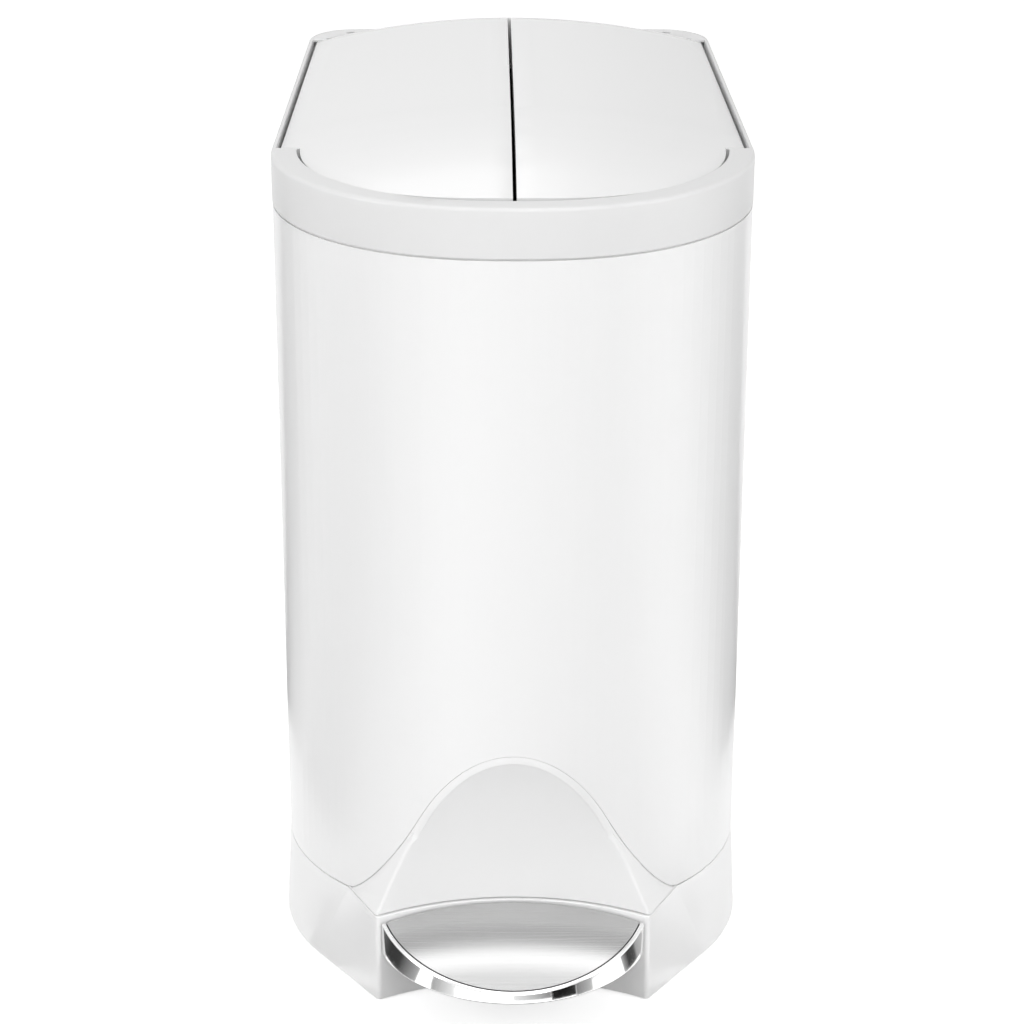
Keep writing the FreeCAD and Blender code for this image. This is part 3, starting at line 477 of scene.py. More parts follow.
FINISHES: Dict[str, Finish] = {
    # The base's white plastic is set lighter than the rim's and the deck's. This is painted light, standing
    # in for light that the lamps give too little of low down.
    "white_plastic": Finish("base_white_plastic_painted_lighter", (0.87, 0.87, 0.87), Texture.MOULDED, 0.30, dust=0.1),
    "floor_plastic": Finish("underside_plastic", (0.62, 0.62, 0.61), Texture.MOULDED, 0.5, bump=0.3,
                            dust=0.6),
    "screw_steel": Finish("screw_steel", (0.58, 0.58, 0.58), Texture.BRUSHED, 0.32, metallic=1.0, tone=0.3),
    "pad_rubber": Finish("pad_rubber", (0.035, 0.035, 0.035), Texture.MOULDED, 0.75, bump=0.4, dust=0.5),
    "body_paint": Finish("body_white_coat", (0.85, 0.85, 0.85), Texture.COATED, 0.277, coat=0.15, bump=0.05,
                         tone=0.01),
    # The rim's white plastic is set darker than the base's and the deck's. This is painted shade: the
    # lowered colour darkens the rim in place of less light on it.
    "rim_plastic": Finish("rim_white_plastic_painted_darker", (0.75, 0.75, 0.75), Texture.MOULDED, 0.34, bump=0.03),
    "deck_plastic": Finish("deck_white_plastic", (0.80, 0.80, 0.80), Texture.MOULDED, 0.32, bump=0.03),
    "lid_paint": Finish("lid_white_coat", (0.85, 0.85, 0.85), Texture.COATED, 0.25, coat=0.2, bump=0.04,
                        tone=0.01),
    "liner_plastic": Finish("lid_liner_plastic", (0.55, 0.55, 0.55), Texture.MOULDED, 0.5, bump=0.2),
    "pin_steel": Finish("pin_steel", (0.55, 0.55, 0.55), Texture.BRUSHED, 0.25, metallic=1.0, tone=0.2),
    "drive_steel": Finish("drive_pressing", (0.50, 0.50, 0.51), Texture.BRUSHED, 0.38, metallic=1.0,
                          tone=0.3, wear=0.5, wear_colour=(0.75, 0.75, 0.75)),
    "rod_steel": Finish("drawn_rod", (0.58, 0.58, 0.59), Texture.BRUSHED, 0.28, metallic=1.0, tone=0.25),
    "shoe_plastic": Finish("slippery_plastic", (0.03, 0.03, 0.032), Texture.MOULDED, 0.42, bump=0.2),
    "damper_black": Finish("damper_coat", (0.012, 0.012, 0.012), Texture.COATED, 0.315, wear=0.5,
                           wear_colour=(0.3, 0.3, 0.3)),
    "damper_steel": Finish("damper_rod_steel", (0.75, 0.75, 0.76), Texture.BRUSHED, 0.08, metallic=1.0,
                           tone=0.05),
    "tread_metal": Finish("tread_brushed_steel", (0.57, 0.57, 0.57), Texture.BRUSHED, 0.24, metallic=1.0,
                          tone=0.16, grain=5200.0, bump=0.25),
    "lip_chrome": Finish("lip_polished_steel", (0.90, 0.90, 0.90), Texture.BRUSHED, 0.11, metallic=1.0,
                         tone=0.02),
    "core_plastic": Finish("pedal_core_plastic", (0.02, 0.02, 0.02), Texture.MOULDED, 0.5, bump=0.3),
    "lever_steel": Finish("lever_coat", (0.02, 0.02, 0.02), Texture.COATED, 0.415, wear=0.6,
                          wear_colour=(0.35, 0.35, 0.35)),
    "axle_steel": Finish("turned_axle", (0.55, 0.55, 0.55), Texture.BRUSHED, 0.3, metallic=1.0, tone=0.3),
    "bush_plastic": Finish("bush_plastic", (0.68, 0.66, 0.60), Texture.MOULDED, 0.4, bump=0.1),
    "clip_steel": Finish("clip_spring_steel", (0.30, 0.30, 0.31), Texture.BRUSHED, 0.35, metallic=1.0,
                         tone=0.3),
    "bucket_plastic": Finish("bucket_plastic", (0.045, 0.047, 0.05), Texture.MOULDED, 0.45, bump=0.3,
                             tone=0.05),
    "stop_rubber": Finish("stop_rubber", (0.35, 0.35, 0.35), Texture.MOULDED, 0.7, bump=0.3),
}


class Wardrobe:
    """Materials by slot, each built once."""

    def __init__(self) -> None:
        """Build the shared groups and every finish."""
        effects = SurfaceEffects()
        self.materials = {slot: finish.build(effects) for slot, finish in FINISHES.items()}

    def dress(self, obj: bpy.types.Object, slot: str) -> None:
        """Give an object the material of a slot, all over."""
        obj.data.materials.clear()
        obj.data.materials.append(self.materials[slot])


# ---------------------------------------------------------------- geometry node trees
class Tree(NamedTree):
    """A geometry node tree with named sizes, which becomes a plain object."""

    def __init__(self, name: str, sizes: Dict[str, float]) -> None:
        """Make the tree with one input for each size.

        Args:
            name: Name of the tree.
            sizes: Input names and their values, in metres or plain numbers.
        """
        self.sizes = sizes
        kinds = {label: "NodeSocketInt" if isinstance(value, int) else "NodeSocketFloat"
                 for label, value in sizes.items()}
        shape = {"Geometry": "NodeSocketGeometry"}
        inputs = {**shape, **kinds, "Finish": "NodeSocketMaterial", "Fitting": "NodeSocketObject"}
        super().__init__(name, "GeometryNodeTree", inputs, shape)

    def axes(self) -> Tuple[Sum, Sum, Sum]:
        """Read where each point is.

        Returns:
            Its X, Y and Z.
        """
        place = self.node("GeometryNodeInputPosition")
        parts = self.node("ShaderNodeSeparateXYZ", Vector=place.outputs[0])
        x, y, z = (Sum(self.group, socket) for socket in parts.outputs)
        return x, y, z

    def moved(self, shape: bpy.types.NodeSocket, x: Operand, y: Operand, z: Operand) -> bpy.types.NodeSocket:
        """Return a shape with its points at the given places."""
        place = self.node("ShaderNodeCombineXYZ", X=x, Y=y, Z=z)
        return self.node("GeometryNodeSetPosition", Geometry=shape, Position=place.outputs[0]).outputs[0]

    def bake(self, name: str, shape: bpy.types.NodeSocket, finish: bpy.types.Material,
             points: Sequence[Point] = (), fitting: Optional[bpy.types.Object] = None) -> bpy.types.Object:
        """Close the tree and turn what it makes into a plain object.

        Args:
            name: Name of the object.
            shape: The tree's last shape.
            finish: Material for every face.
            points: Places that the tree starts from, if any.
            fitting: The object that the tree copies, if any.

        Returns:
            The object, with a plain mesh and no modifier.
        """
        real = self.node("GeometryNodeRealizeInstances", Geometry=shape)
        dressed = self.node("GeometryNodeSetMaterial", Geometry=real.outputs[0],
                            Material=self.start.outputs["Finish"])
        self.group.links.new(dressed.outputs[0], self.end.inputs[0])
        seed = bpy.data.meshes.new(name)
        seed.from_pydata([tuple(point) for point in points] or [(0.0, 0.0, 0.0)], [], [])
        piece = bpy.data.objects.new(name, seed)
        bpy.context.scene.collection.objects.link(piece)
        growth = piece.modifiers.new("growth", "NODES")
        growth.node_group = self.group
        values = {**self.sizes, "Finish": finish, "Fitting": fitting}
        for item in self.group.interface.items_tree:
            if item.item_type == "SOCKET" and item.in_out == "INPUT" and values.get(item.name) is not None:
                growth[item.identifier] = values[item.name]
        evaluated = piece.evaluated_get(bpy.context.evaluated_depsgraph_get())
        mesh = bpy.data.meshes.new_from_object(evaluated)
        piece.modifiers.clear()
        piece.data = mesh
        bpy.data.meshes.remove(seed)
        mesh.name = name
        return piece


# ---------------------------------------------------------------- the bench and its plain work
class Part(Enum):
    """The moving bodies of the bin, by their names in the frame."""

    BIN = "bin"
    LID_RIGHT = "lid_right"
    LID_LEFT = "lid_left"
    PUSH_ROD = "push_rod"
    PEDAL = "pedal"


def linked(name: str, work: bmesh.types.BMesh) -> bpy.types.Object:
    """Put a finished bmesh into the scene.

    Args:
        name: Name of the object and its mesh.
        work: The shape, which is freed.

    Returns:
        The object.
    """
    mesh = bpy.data.meshes.new(name)
    work.to_mesh(mesh)
    work.free()
    piece = bpy.data.objects.new(name, mesh)
    bpy.context.scene.collection.objects.link(piece)
    return piece


def lathe(name: str, profile: Sequence[Pair], segments: int) -> bpy.types.Object:
    """Turn a half profile round Z.

    Args:
        name: Name of the object.
        profile: Radius and height of each point, from one pole to the other.
        segments: Faces round the shape.

    Returns:
        The closed shape.
    """
    work = bmesh.new()
    rings = []
    for radius, height in profile:
        count = segments if radius > 0 else 1
        angles = [2 * math.pi * index / segments for index in range(count)]
        rings.append([work.verts.new((radius * math.cos(a), radius * math.sin(a), height)) for a in angles])
    for low, high in zip(rings, rings[1:]):
        for index in range(segments):
            after = (index + 1) % segments
            around = [ring[place % len(ring)]
                      for ring, place in ((low, index), (low, after), (high, after), (high, index))]
            work.faces.new(list(dict.fromkeys(around)))
    bmesh.ops.recalc_face_normals(work, faces=work.faces)
    return linked(name, work)


@dataclass
class Bench:
    """The loaded frame, the finishes, and the work that every sub-assembly shares."""

    frame: Dict[str, object]
    wardrobe: Wardrobe
    sharp_angle: float = 32.0
    flat_angle: float = 0.05
    merge_distance: float = 1e-6
    seed: int = 7
    made: List[str] = field(default_factory=list)
    slots: Dict[str, str] = field(init=False)
    bodies: Dict[str, Part] = field(init=False)

    def __post_init__(self) -> None:
        """Read the frame's record."""
        record = self.frame["record"]
        self.slots = {part["node"]: part["material_slot"] for part in record["subparts"]}
        self.bodies = {node: Part(body) for body, nodes in record["behaviour"]["bodies"].items()
                       for node in nodes}

    def finish(self, node: str) -> bpy.types.Material:
        """Return the finish of a node."""
        return self.wardrobe.materials[self.slots[node]]

    def _copy(self, node: str) -> bmesh.types.BMesh:
        """Copy a node's mesh and merge its doubles.

        Args:
            node: The node.

        Returns:
            The copy.
        """
        work = bmesh.new()
        work.from_mesh(self.frame["nodes"][node].data)
        bmesh.ops.remove_doubles(work, verts=work.verts, dist=self.merge_distance)
        return work

    def solids(self, node: str) -> List[Tuple[Vector, Vector]]:
        """Measure each solid of a node.

        Args:
            node: The node.

        Returns:
            The lowest and the highest corner of each solid.
        """
        work = self._copy(node)
        boxes, seen = [], set()
        for start in work.verts:
            if start in seen:
                continue
            seen.add(start)
            waiting, points = [start], []
            while waiting:
                vertex = waiting.pop()
                points.append(vertex.co.copy())
                for edge in vertex.link_edges:
                    other = edge.other_vert(vertex)
                    if other not in seen:
                        seen.add(other)
                        waiting.append(other)
            boxes.append(tuple(Vector([end(point[axis] for point in points) for axis in range(3)])
                               for end in (min, max)))
        work.free()
        return boxes

    def extent(self, node: str) -> Pair:
        """Return the radius and the height of a node's first solid."""
        low, high = self.solids(node)[0]
        return (high.x - low.x) / 2, high.z - low.z

    def feet(self, node: str) -> List[Point]:
        """Return the middle of the underside of each solid of a node."""
        return [tuple((*((low + high) / 2)[:2], low.z)) for low, high in self.solids(node)]

    def smooth(self, piece: bpy.types.Object, rounding: float, segments: int = 2) -> None:
        """Shade a piece smoothly and break its edges.

        Args:
            piece: The piece.
            rounding: Width of the broken edges, in metres.
            segments: Faces across them.
        """
        piece.data.shade_smooth()
        piece.data.set_sharp_from_angle(angle=math.radians(self.sharp_angle))
        if rounding > 0:
            bevel = piece.modifiers.new("rounding", "BEVEL")
            bevel.width = rounding
            bevel.segments = segments
            bevel.limit_method = "ANGLE"
            bevel.angle_limit = math.radians(self.sharp_angle)
            bevel.use_clamp_overlap = True
            bevel.harden_normals = True

    def place(self, piece: bpy.types.Object, node: str) -> None:
        """Let a piece stand for a node: same finish, same body.

        Args:
            piece: The piece.
            node: The node that it replaces.
        """
        self.wardrobe.dress(piece, self.slots[node])
        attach(piece, self.bodies[node].value)
        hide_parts(node)
        self.made.append(piece.name)
        LOG.info("%s: %d faces on %s", piece.name, len(piece.data.polygons), self.bodies[node].value)

    def finished(self, node: str, rounding: float, segments: int = 2, parting: Pair = (0.0, 0.0)) -> None:
        """Finish a copy of a node's solid with smooth shading and broken edges.

        Args:
            node: The node.
            rounding: Width of the broken edges, in metres.
            segments: Faces across them.
            parting: Fine gaps left below and above the piece, in metres.
        """
        work = self._copy(node)
        bmesh.ops.dissolve_degenerate(work, edges=work.edges, dist=self.merge_distance)
        bmesh.ops.dissolve_limit(work, angle_limit=math.radians(self.flat_angle), verts=work.verts,
                                 edges=work.edges)
        below, above = parting
        low, high = (corner[2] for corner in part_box(node))
        for vertex in work.verts:
            if vertex.co.z < low + below:
                vertex.co.z += below
            elif vertex.co.z > high - above:
                vertex.co.z -= above
        piece = linked(node + "_finished", work)
        self.smooth(piece, rounding, segments)
        self.place(piece, node)

    def repeated(self, node: str, fitting: bpy.types.Object, name: str) -> None:
        """Set one copy of a fitting at the foot of each solid of a node.

        Args:
            node: The node whose solids the copies stand for.
            fitting: The shape that is repeated, with its foot at the origin.
            name: Name of the piece that holds every copy.
        """
        tree = Tree(name, {"Full Turn": 2 * math.pi, "Seed": self.seed})
        spin = tree.node("FunctionNodeRandomValue", {"data_type": "FLOAT"}, Max=tree.size("Full Turn"),
                         Seed=tree.size("Seed"))
        turn = tree.node("ShaderNodeCombineXYZ", Z=spin.outputs[1])
        source = tree.node("GeometryNodeObjectInfo", Object=tree.start.outputs["Fitting"])
        copies = tree.node("GeometryNodeInstanceOnPoints", Points=tree.start.outputs["Geometry"],
                           Instance=source.outputs["Geometry"], Rotation=turn.outputs[0])
        piece = tree.bake(name, copies.outputs[0], self.finish(node), self.feet(node), fitting)
        bpy.data.objects.remove(fitting)
        self.smooth(piece, 0.0)
        self.place(piece, node)


@dataclass
class Screw:
    """A pan-headed screw with a cross recess, head down, whose outline is in shares of its head."""

    head_radius: float = 0.003
    head_height: float = 0.0011
    head_outline: Tuple[Pair, ...] = ((0, 0), (0.72, 0), (0.92, 0.18), (1, 0.45), (1, 1))
    shank_radius: float = 0.0015
    root_share: float = 0.82
    pitch: float = 0.0011
    cross_reach: float = 0.0018
    cross_width: float = 0.00035
    cross_depth: float = 0.0008
    cross_taper: float = 0.55
    segments: int = 28

    def fit(self, bench: Bench, node: str, name: str) -> None:
        """Set a screw in the place of each solid of a node.

        Args:
            bench: The bench.
            node: The node.
            name: Name of the piece that holds every screw.
        """
        _, length = bench.extent(node)
        bench.repeated(node, self._shape(length), name)

    def _shape(self, length: float) -> bpy.types.Object:
        """Make the screw, with its head's underside at the origin.

        Args:
            length: Length over all.

        Returns:
            The screw.
        """
        root = self.shank_radius * self.root_share
        profile = [(self.head_radius * across, self.head_height * up) for across, up in self.head_outline]
        profile.append((root, self.head_height))
        height = self.head_height + self.pitch
        while height < length - self.pitch:
            profile += [(root, height - self.pitch / 2), (self.shank_radius, height)]
            height += self.pitch
        profile += [(root, length - self.pitch / 2), (0, length)]
        screw = lathe("screw", profile, self.segments)
        cutter = self._cutter()
        cut = screw.modifiers.new("cross", "BOOLEAN")
        cut.object = cutter
        cut.solver = "EXACT"
        mesh = bpy.data.meshes.new_from_object(screw.evaluated_get(bpy.context.evaluated_depsgraph_get()))
        screw.modifiers.clear()
        screw.data = mesh
        bpy.data.objects.remove(cutter)
        return screw

    def _cutter(self) -> bpy.types.Object:
        """Make the cross that is cut into the head.

        Returns:
            The cutter, drawn in towards the floor of the recess.
        """
        reach, width = self.cross_reach, self.cross_width
        outline = ((reach, width), (width, width), (width, reach))
        quarters = ((1, 0), (0, 1), (-1, 0), (0, -1))
        points = [(x * c - y * s, x * s + y * c) for c, s in quarters for x, y in outline]
        work = bmesh.new()
        mouth, floor = ([work.verts.new((x * share, y * share, height)) for x, y in points]
                        for share, height in ((1, -self.cross_depth), (self.cross_taper, self.cross_depth)))
        work.faces.new(mouth[::-1])
        work.faces.new(floor)
        for index in range(len(points)):
            after = (index + 1) % len(points)
            work.faces.new((mouth[index], mouth[after], floor[after], floor[index]))
        bmesh.ops.recalc_face_normals(work, faces=work.faces)
        return linked("cross_cutter", work)


# ---------------------------------------------------------------- sub-assemblies
@dataclass
class Assembly:
    """A sub-assembly of the bin, made on the bench."""

    bench: Bench

    def build(self) -> None:
        """Make every piece of the sub-assembly."""
        raise NotImplementedError


@dataclass
class Base(Assembly):
    """White base with its floor plate, screws, feet and bushes."""

    rounding: float = 0.0008
    plate_rounding: float = 0.0003
    bush_rounding: float = 0.0002
    pad_outline: Tuple[Pair, ...] = ((0, 0), (0.30, 0), (0.34, 0.3), (0.50, 0.3), (0.54, 0), (0.90, 0),
                                     (0.97, 0.12), (1, 0.35), (1, 1), (0, 1))
    pad_segments: int = 48
    screw: Screw = field(default_factory=Screw)

    def build(self) -> None:
        """Make every piece of the base."""
        self.bench.finished("base_moulding", self.rounding, segments=3)
        self.bench.finished("base_floor_plate", self.plate_rounding)
        self.bench.finished("axle_bushes", self.bush_rounding)
        self._pads()
        self.screw.fit(self.bench, "floor_plate_screws", "cross_head_plate_screws")

    def _pads(self) -> None:
        """Make the four feet, each with a ring and a middle that grip the floor."""
        radius, height = self.bench.extent("foot_pads")
        profile = [(radius * across, height * up) for across, up in self.pad_outline]
        pad = lathe("foot_pad", profile, self.pad_segments)
        self.bench.repeated("foot_pads", pad, "ringed_foot_pads")


@dataclass
class SteelShell(Assembly):
    """Painted steel body and the arch panel over the toes."""

    body_rounding: float = 0.0002
    panel_rounding: float = 0.0008
    parting: float = 0.0008

    def build(self) -> None:
        """Make both painted pieces."""
        self.bench.finished("steel_body", self.body_rounding, parting=(self.parting, self.parting))
        self.bench.finished("toe_arch_panel", self.panel_rounding, segments=3, parting=(self.parting, 0.0))


@dataclass
class RimUnit(Assembly):
    """Rim frame with the pins and soft stops that carry the lids."""

    rounding: float = 0.0004
    pin_rounding: float = 0.0002
    dome_share: float = 0.6
    dome_steps: int = 6
    dome_segments: int = 32

    def build(self) -> None:
        """Make the rim, its hinge pins and the lids' stops."""
        self.bench.finished("rim_frame", self.rounding)
        self.bench.finished("hinge_pins", self.pin_rounding)
        self._bumpers()

    def _bumpers(self) -> None:
        """Make the four domed stops."""
        radius, height = self.bench.extent("lid_bumpers")
        dome = radius * self.dome_share
        profile = [(0, 0), (radius, 0), (radius, height - dome)]
        for step in range(1, self.dome_steps + 1):
            angle = math.radians(90 * step / self.dome_steps)
            across = radius * math.cos(angle) if step < self.dome_steps else 0
            profile.append((across, height - dome + dome * math.sin(angle)))
        bumper = lathe("lid_bumper", profile, self.dome_segments)
        self.bench.repeated("lid_bumpers", bumper, "domed_lid_bumpers")


@dataclass
class LidPair(Assembly):
    """The two lids with their liners."""

    rounding: float = 0.0006
    liner_rounding: float = 0.0005

    def build(self) -> None:
        """Make both lids and both liners."""
        for side in ("right", "left"):
            self.bench.finished(f"lid_{side}", self.rounding, segments=3)
            self.bench.finished(f"lid_liner_{side}", self.liner_rounding)


@dataclass
class RearCover(Assembly):
    """Crowned cover over the lid drive."""

    rounding: float = 0.0004

    def build(self) -> None:
        """Make the cover."""
        self.bench.finished("rear_deck", self.rounding)


@dataclass
class LidDrive(Assembly):
    """Rod, cam plate, cranks and damper that lift the lids."""

    pressing_rounding: float = 0.0002
    moulded_rounding: float = 0.0004
    pressings: Tuple[str, ...] = (
        "cam_plate", "crank_left", "crank_right", "crank_pin_left", "crank_pin_right",
        "drive_shaft_left", "drive_shaft_right", "push_rod", "damper_rod")
    mouldings: Tuple[str, ...] = ("rod_foot", "rod_guides", "damper_body", "damper_clip")

    def build(self) -> None:
        """Make the metal pieces, then the moulded ones."""
        for node in self.pressings:
            self.bench.finished(node, self.pressing_rounding)
        for node in self.mouldings:
            self.bench.finished(node, self.moulded_rounding)


@dataclass
class Bucket(Assembly):
    """Inner bucket that lifts out."""

    rounding: float = 0.0006

    def build(self) -> None:
        """Make the bucket."""
        self.bench.finished("inner_bucket", self.rounding)


@dataclass
class Pedal(Assembly):
    """Crowned tread with its polished lip, core, lever and fastenings."""

    half_width: float = 0.0615
    rear_radius: float = 0.129
    front_radius: float = 0.0648
    crown_radius: float = 0.3
    crown_ahead: float = 0.02985
    tread_thickness: float = 0.0012
    tread_rounding: float = 0.00025
    lip_radius: float = 0.0673
    lip_thickness: float = 0.0022
    lip_rise: float = 0.0003
    lip_sweep: float = 72.3
    lip_edge: float = 0.00105
    lip_edge_steps: int = 5
    lip_seat: float = 0.008
    rounding: float = 0.0004
    pin_rounding: float = 0.0002
    across: int = 129
    along: int = 49
    screw: Screw = field(default_factory=Screw)
    rear_centre: float = field(init=False)
    front_centre: float = field(init=False)
    lip_low: float = field(init=False)
    crown_y: float = field(init=False)
    crown_z: float = field(init=False)

    def __post_init__(self) -> None:
        """Find the centres of the arcs in the frame."""
        _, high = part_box("pedal_plate")
        lip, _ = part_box("pedal_lip")
        self.rear_centre = high[1] - self.rear_radius
        self.front_centre = lip[1] + self.lip_radius
        self.lip_low = lip[2]
        self.crown_y = high[1] + self.crown_ahead
        self.crown_z = high[2] - math.sqrt(self.crown_radius ** 2 - self.crown_ahead ** 2)

    def build(self) -> None:
        """Make every piece of the pedal."""
        self._tread()
        self._lip()
        for node in ("pedal_core", "pedal_lever"):
            self.bench.finished(node, self.rounding)
        for node in ("pedal_axle", "lever_pin", "axle_clips"):
            self.bench.finished(node, self.pin_rounding)
        self.screw.fit(self.bench, "pedal_screws", "cross_head_pedal_screws")

    def _tree(self, name: str, sizes: Dict[str, float]) -> Tree:
        """Start a tree that has the crown's sizes and its own."""
        return Tree(name, {**sizes, "Front Centre": self.front_centre, "Crown Radius": self.crown_radius,
                           "Crown Y": self.crown_y, "Crown Z": self.crown_z, "Across": self.across})

    @staticmethod
    def _crown(tree: Tree, y: Sum, rise: Operand) -> Sum:
        """Return the height of the crowned top at a depth.

        Args:
            tree: The tree.
            y: The depth.
            rise: How far above the tread's own top.

        Returns:
            The height.
        """
        away = y - tree.size("Crown Y")
        reach = tree.size("Crown Radius") + rise
        return tree.size("Crown Z") + (reach * reach - away * away).root()

    def _tread(self) -> None:
        """Bend a grid over the crown, between the front arc and the toe recess."""
        tree = self._tree("crowned_tread", {
            "Corner Angle": math.asin(self.half_width / self.front_radius),
            "Front Radius": self.front_radius, "Rear Radius": self.rear_radius,
            "Rear Centre": self.rear_centre, "Along": self.along})
        grid = tree.node("GeometryNodeMeshGrid", Vertices_X=tree.size("Across"),
                         Vertices_Y=tree.size("Along"))
        side, depth, _ = tree.axes()
        radius, rear_radius = tree.size("Front Radius"), tree.size("Rear Radius")
        x = radius * (side * tree.size("Corner Angle") * 2.0).sine()
        front = tree.size("Front Centre") - (radius * radius - x * x).root()
        rear = tree.size("Rear Centre") + (rear_radius * rear_radius - x * x).root()
        y = front + (rear - front) * (depth + 0.5)
        bent = tree.moved(grid.outputs["Mesh"], x, y, self._crown(tree, y, 0.0))
        piece = tree.bake("crowned_tread", bent, self.bench.finish("pedal_plate"))
        sheet = piece.modifiers.new("sheet", "SOLIDIFY")
        sheet.thickness = self.tread_thickness
        sheet.offset = -1.0
        self.bench.smooth(piece, self.tread_rounding, segments=3)
        self.bench.place(piece, "pedal_plate")

    def _lip(self) -> None:
        """Sweep a rounded bar along the front arc, its top following the crown."""
        tree = self._tree("polished_lip", {
            "Middle Radius": self.lip_radius - self.lip_thickness / 2, "Thickness": self.lip_thickness,
            "Start": math.radians(-90 - self.lip_sweep), "Sweep": math.radians(2 * self.lip_sweep),
            "Edge": self.lip_edge, "Edge Steps": self.lip_edge_steps, "Seat": self.lip_seat,
            "Rise": self.lip_rise, "Low": self.lip_low})
        path = tree.node("GeometryNodeCurveArc", Resolution=tree.size("Across"),
                         Radius=tree.size("Middle Radius"), Start_Angle=tree.size("Start"),
                         Sweep_Angle=tree.size("Sweep"))
        upright = tree.node("GeometryNodeSetCurveNormal", {"mode": "Z_UP"}, Curve=path.outputs[0])
        bar = tree.node("GeometryNodeCurvePrimitiveQuadrilateral", Width=tree.size("Thickness"),
                        Height=tree.size("Seat"))
        round_bar = tree.node("GeometryNodeFilletCurve", {"mode": "POLY"}, Curve=bar.outputs[0],
                              Radius=tree.size("Edge"), Count=tree.size("Edge Steps"))
        swept = tree.node("GeometryNodeCurveToMesh", Curve=upright.outputs[0],
                          Profile_Curve=round_bar.outputs[0], Fill_Caps=True)
        x, y, z = tree.axes()
        depth = y + tree.size("Front Centre")
        half = tree.size("Seat") / 2.0
        foot = tree.size("Low") + half + z
        top = self._crown(tree, depth, tree.size("Rise")) - half + z
        shaped = tree.moved(swept.outputs[0], x, depth, foot + (top - foot) * (z > 0.0))
        piece = tree.bake("polished_lip", shaped, self.bench.finish("pedal_lip"))
        self.bench.smooth(piece, 0.0)
        self.bench.place(piece, "pedal_lip")


# ---------------------------------------------------------------- studio
def glowing(name: str, one_sided: bool) -> bpy.types.Material:
    """Make the glowing material of a card, which paints reflections; its tone is kept in its mesh.

    Args:
        name: Name of the material.
        one_sided: Whether the card shows from its front only.

    Returns:
        The material.
    """
    material = bpy.data.materials.new(name)
    material.use_nodes = True
    tree = material.node_tree
    tone = add_node(tree, "ShaderNodeAttribute", {"attribute_name": "tone"})
    shown = add_node(tree, "ShaderNodeEmission", Strength=tone.outputs["Fac"]).outputs[0]
    if one_sided:
        back = add_node(tree, "ShaderNodeNewGeometry").outputs["Backfacing"]
        shown = mixed_shader(tree, back, shown, add_node(tree, "ShaderNodeBsdfTransparent").outputs[0])
    tree.links.new(shown, tree.nodes["Material Output"].inputs["Surface"])
    return material


def lay_card(name: str, rows: Sequence[Sequence[Point]], tones: Sequence[float],
             one_sided: bool = False) -> None:
    """Set up a glowing card that is seen only as a reflection: a painted reflection.

    Args:
        name: Name of the card.
        rows: Points of the card, row by row.
        tones: Brightness of each row, where 1 is white.
        one_sided: Whether the card shows from its front only.
    """
    work = bmesh.new()
    grid = [[work.verts.new(point) for point in row] for row in rows]
    for near, far in zip(grid, grid[1:]):
        for index in range(len(near) - 1):
            work.faces.new((near[index], near[index + 1], far[index + 1], far[index]))
    card = linked(name, work)
    tone = card.data.attributes.new("tone", "FLOAT", "POINT")
    tone.data.foreach_set("value", [value for row, value in zip(rows, tones) for _ in row])
    card.data.materials.append(glowing(name, one_sided))
    for ray in ("camera", "diffuse", "transmission", "shadow", "volume_scatter"):
        setattr(card, "visible_" + ray, False)


@dataclass(frozen=True)
class RingCard:
    """A sector of a ring or drum, with its tones at angles from the front towards the right.

    Its near and far edges are each a radius and a height.
    """

    near: Pair
    far: Pair
    tones: Tuple[Pair, ...]
    step: float = 4.0

    def lay(self, name: str, centre: float) -> None:
        """Lay the card.

        Args:
            name: Name of the card.
            centre: Depth of the ring's centre.
        """
        rows, tones = [], []
        for (start, tone), (end, next_tone) in zip(self.tones, self.tones[1:]):
            count = max(1, math.ceil((end - start) / self.step))
            for index in range(count + 1):
                part = index / count
                angle = math.radians(start + (end - start) * part)
                rows.append([(radius * math.sin(angle), centre - radius * math.cos(angle), height)
                             for radius, height in (self.near, self.far)])
                tones.append(tone + (next_tone - tone) * part)
        lay_card(name, rows, tones)


@dataclass(frozen=True)
class SoftBox:
    """A rectangular lamp that faces a point, with its power in watts."""

    name: str
    place: Point
    target: Point
    size: Pair
    power: float

    def hang(self) -> None:
        """Hang the lamp."""
        data = bpy.data.lights.new(self.name, "AREA")
        data.shape = "RECTANGLE"
        data.size, data.size_y = self.size
        data.energy = self.power
        lamp = bpy.data.objects.new(self.name, data)
        lamp.location = self.place
        lamp.rotation_euler = (Vector(self.target) - Vector(self.place)).to_track_quat("-Z", "Y").to_euler()
        bpy.context.scene.collection.objects.link(lamp)


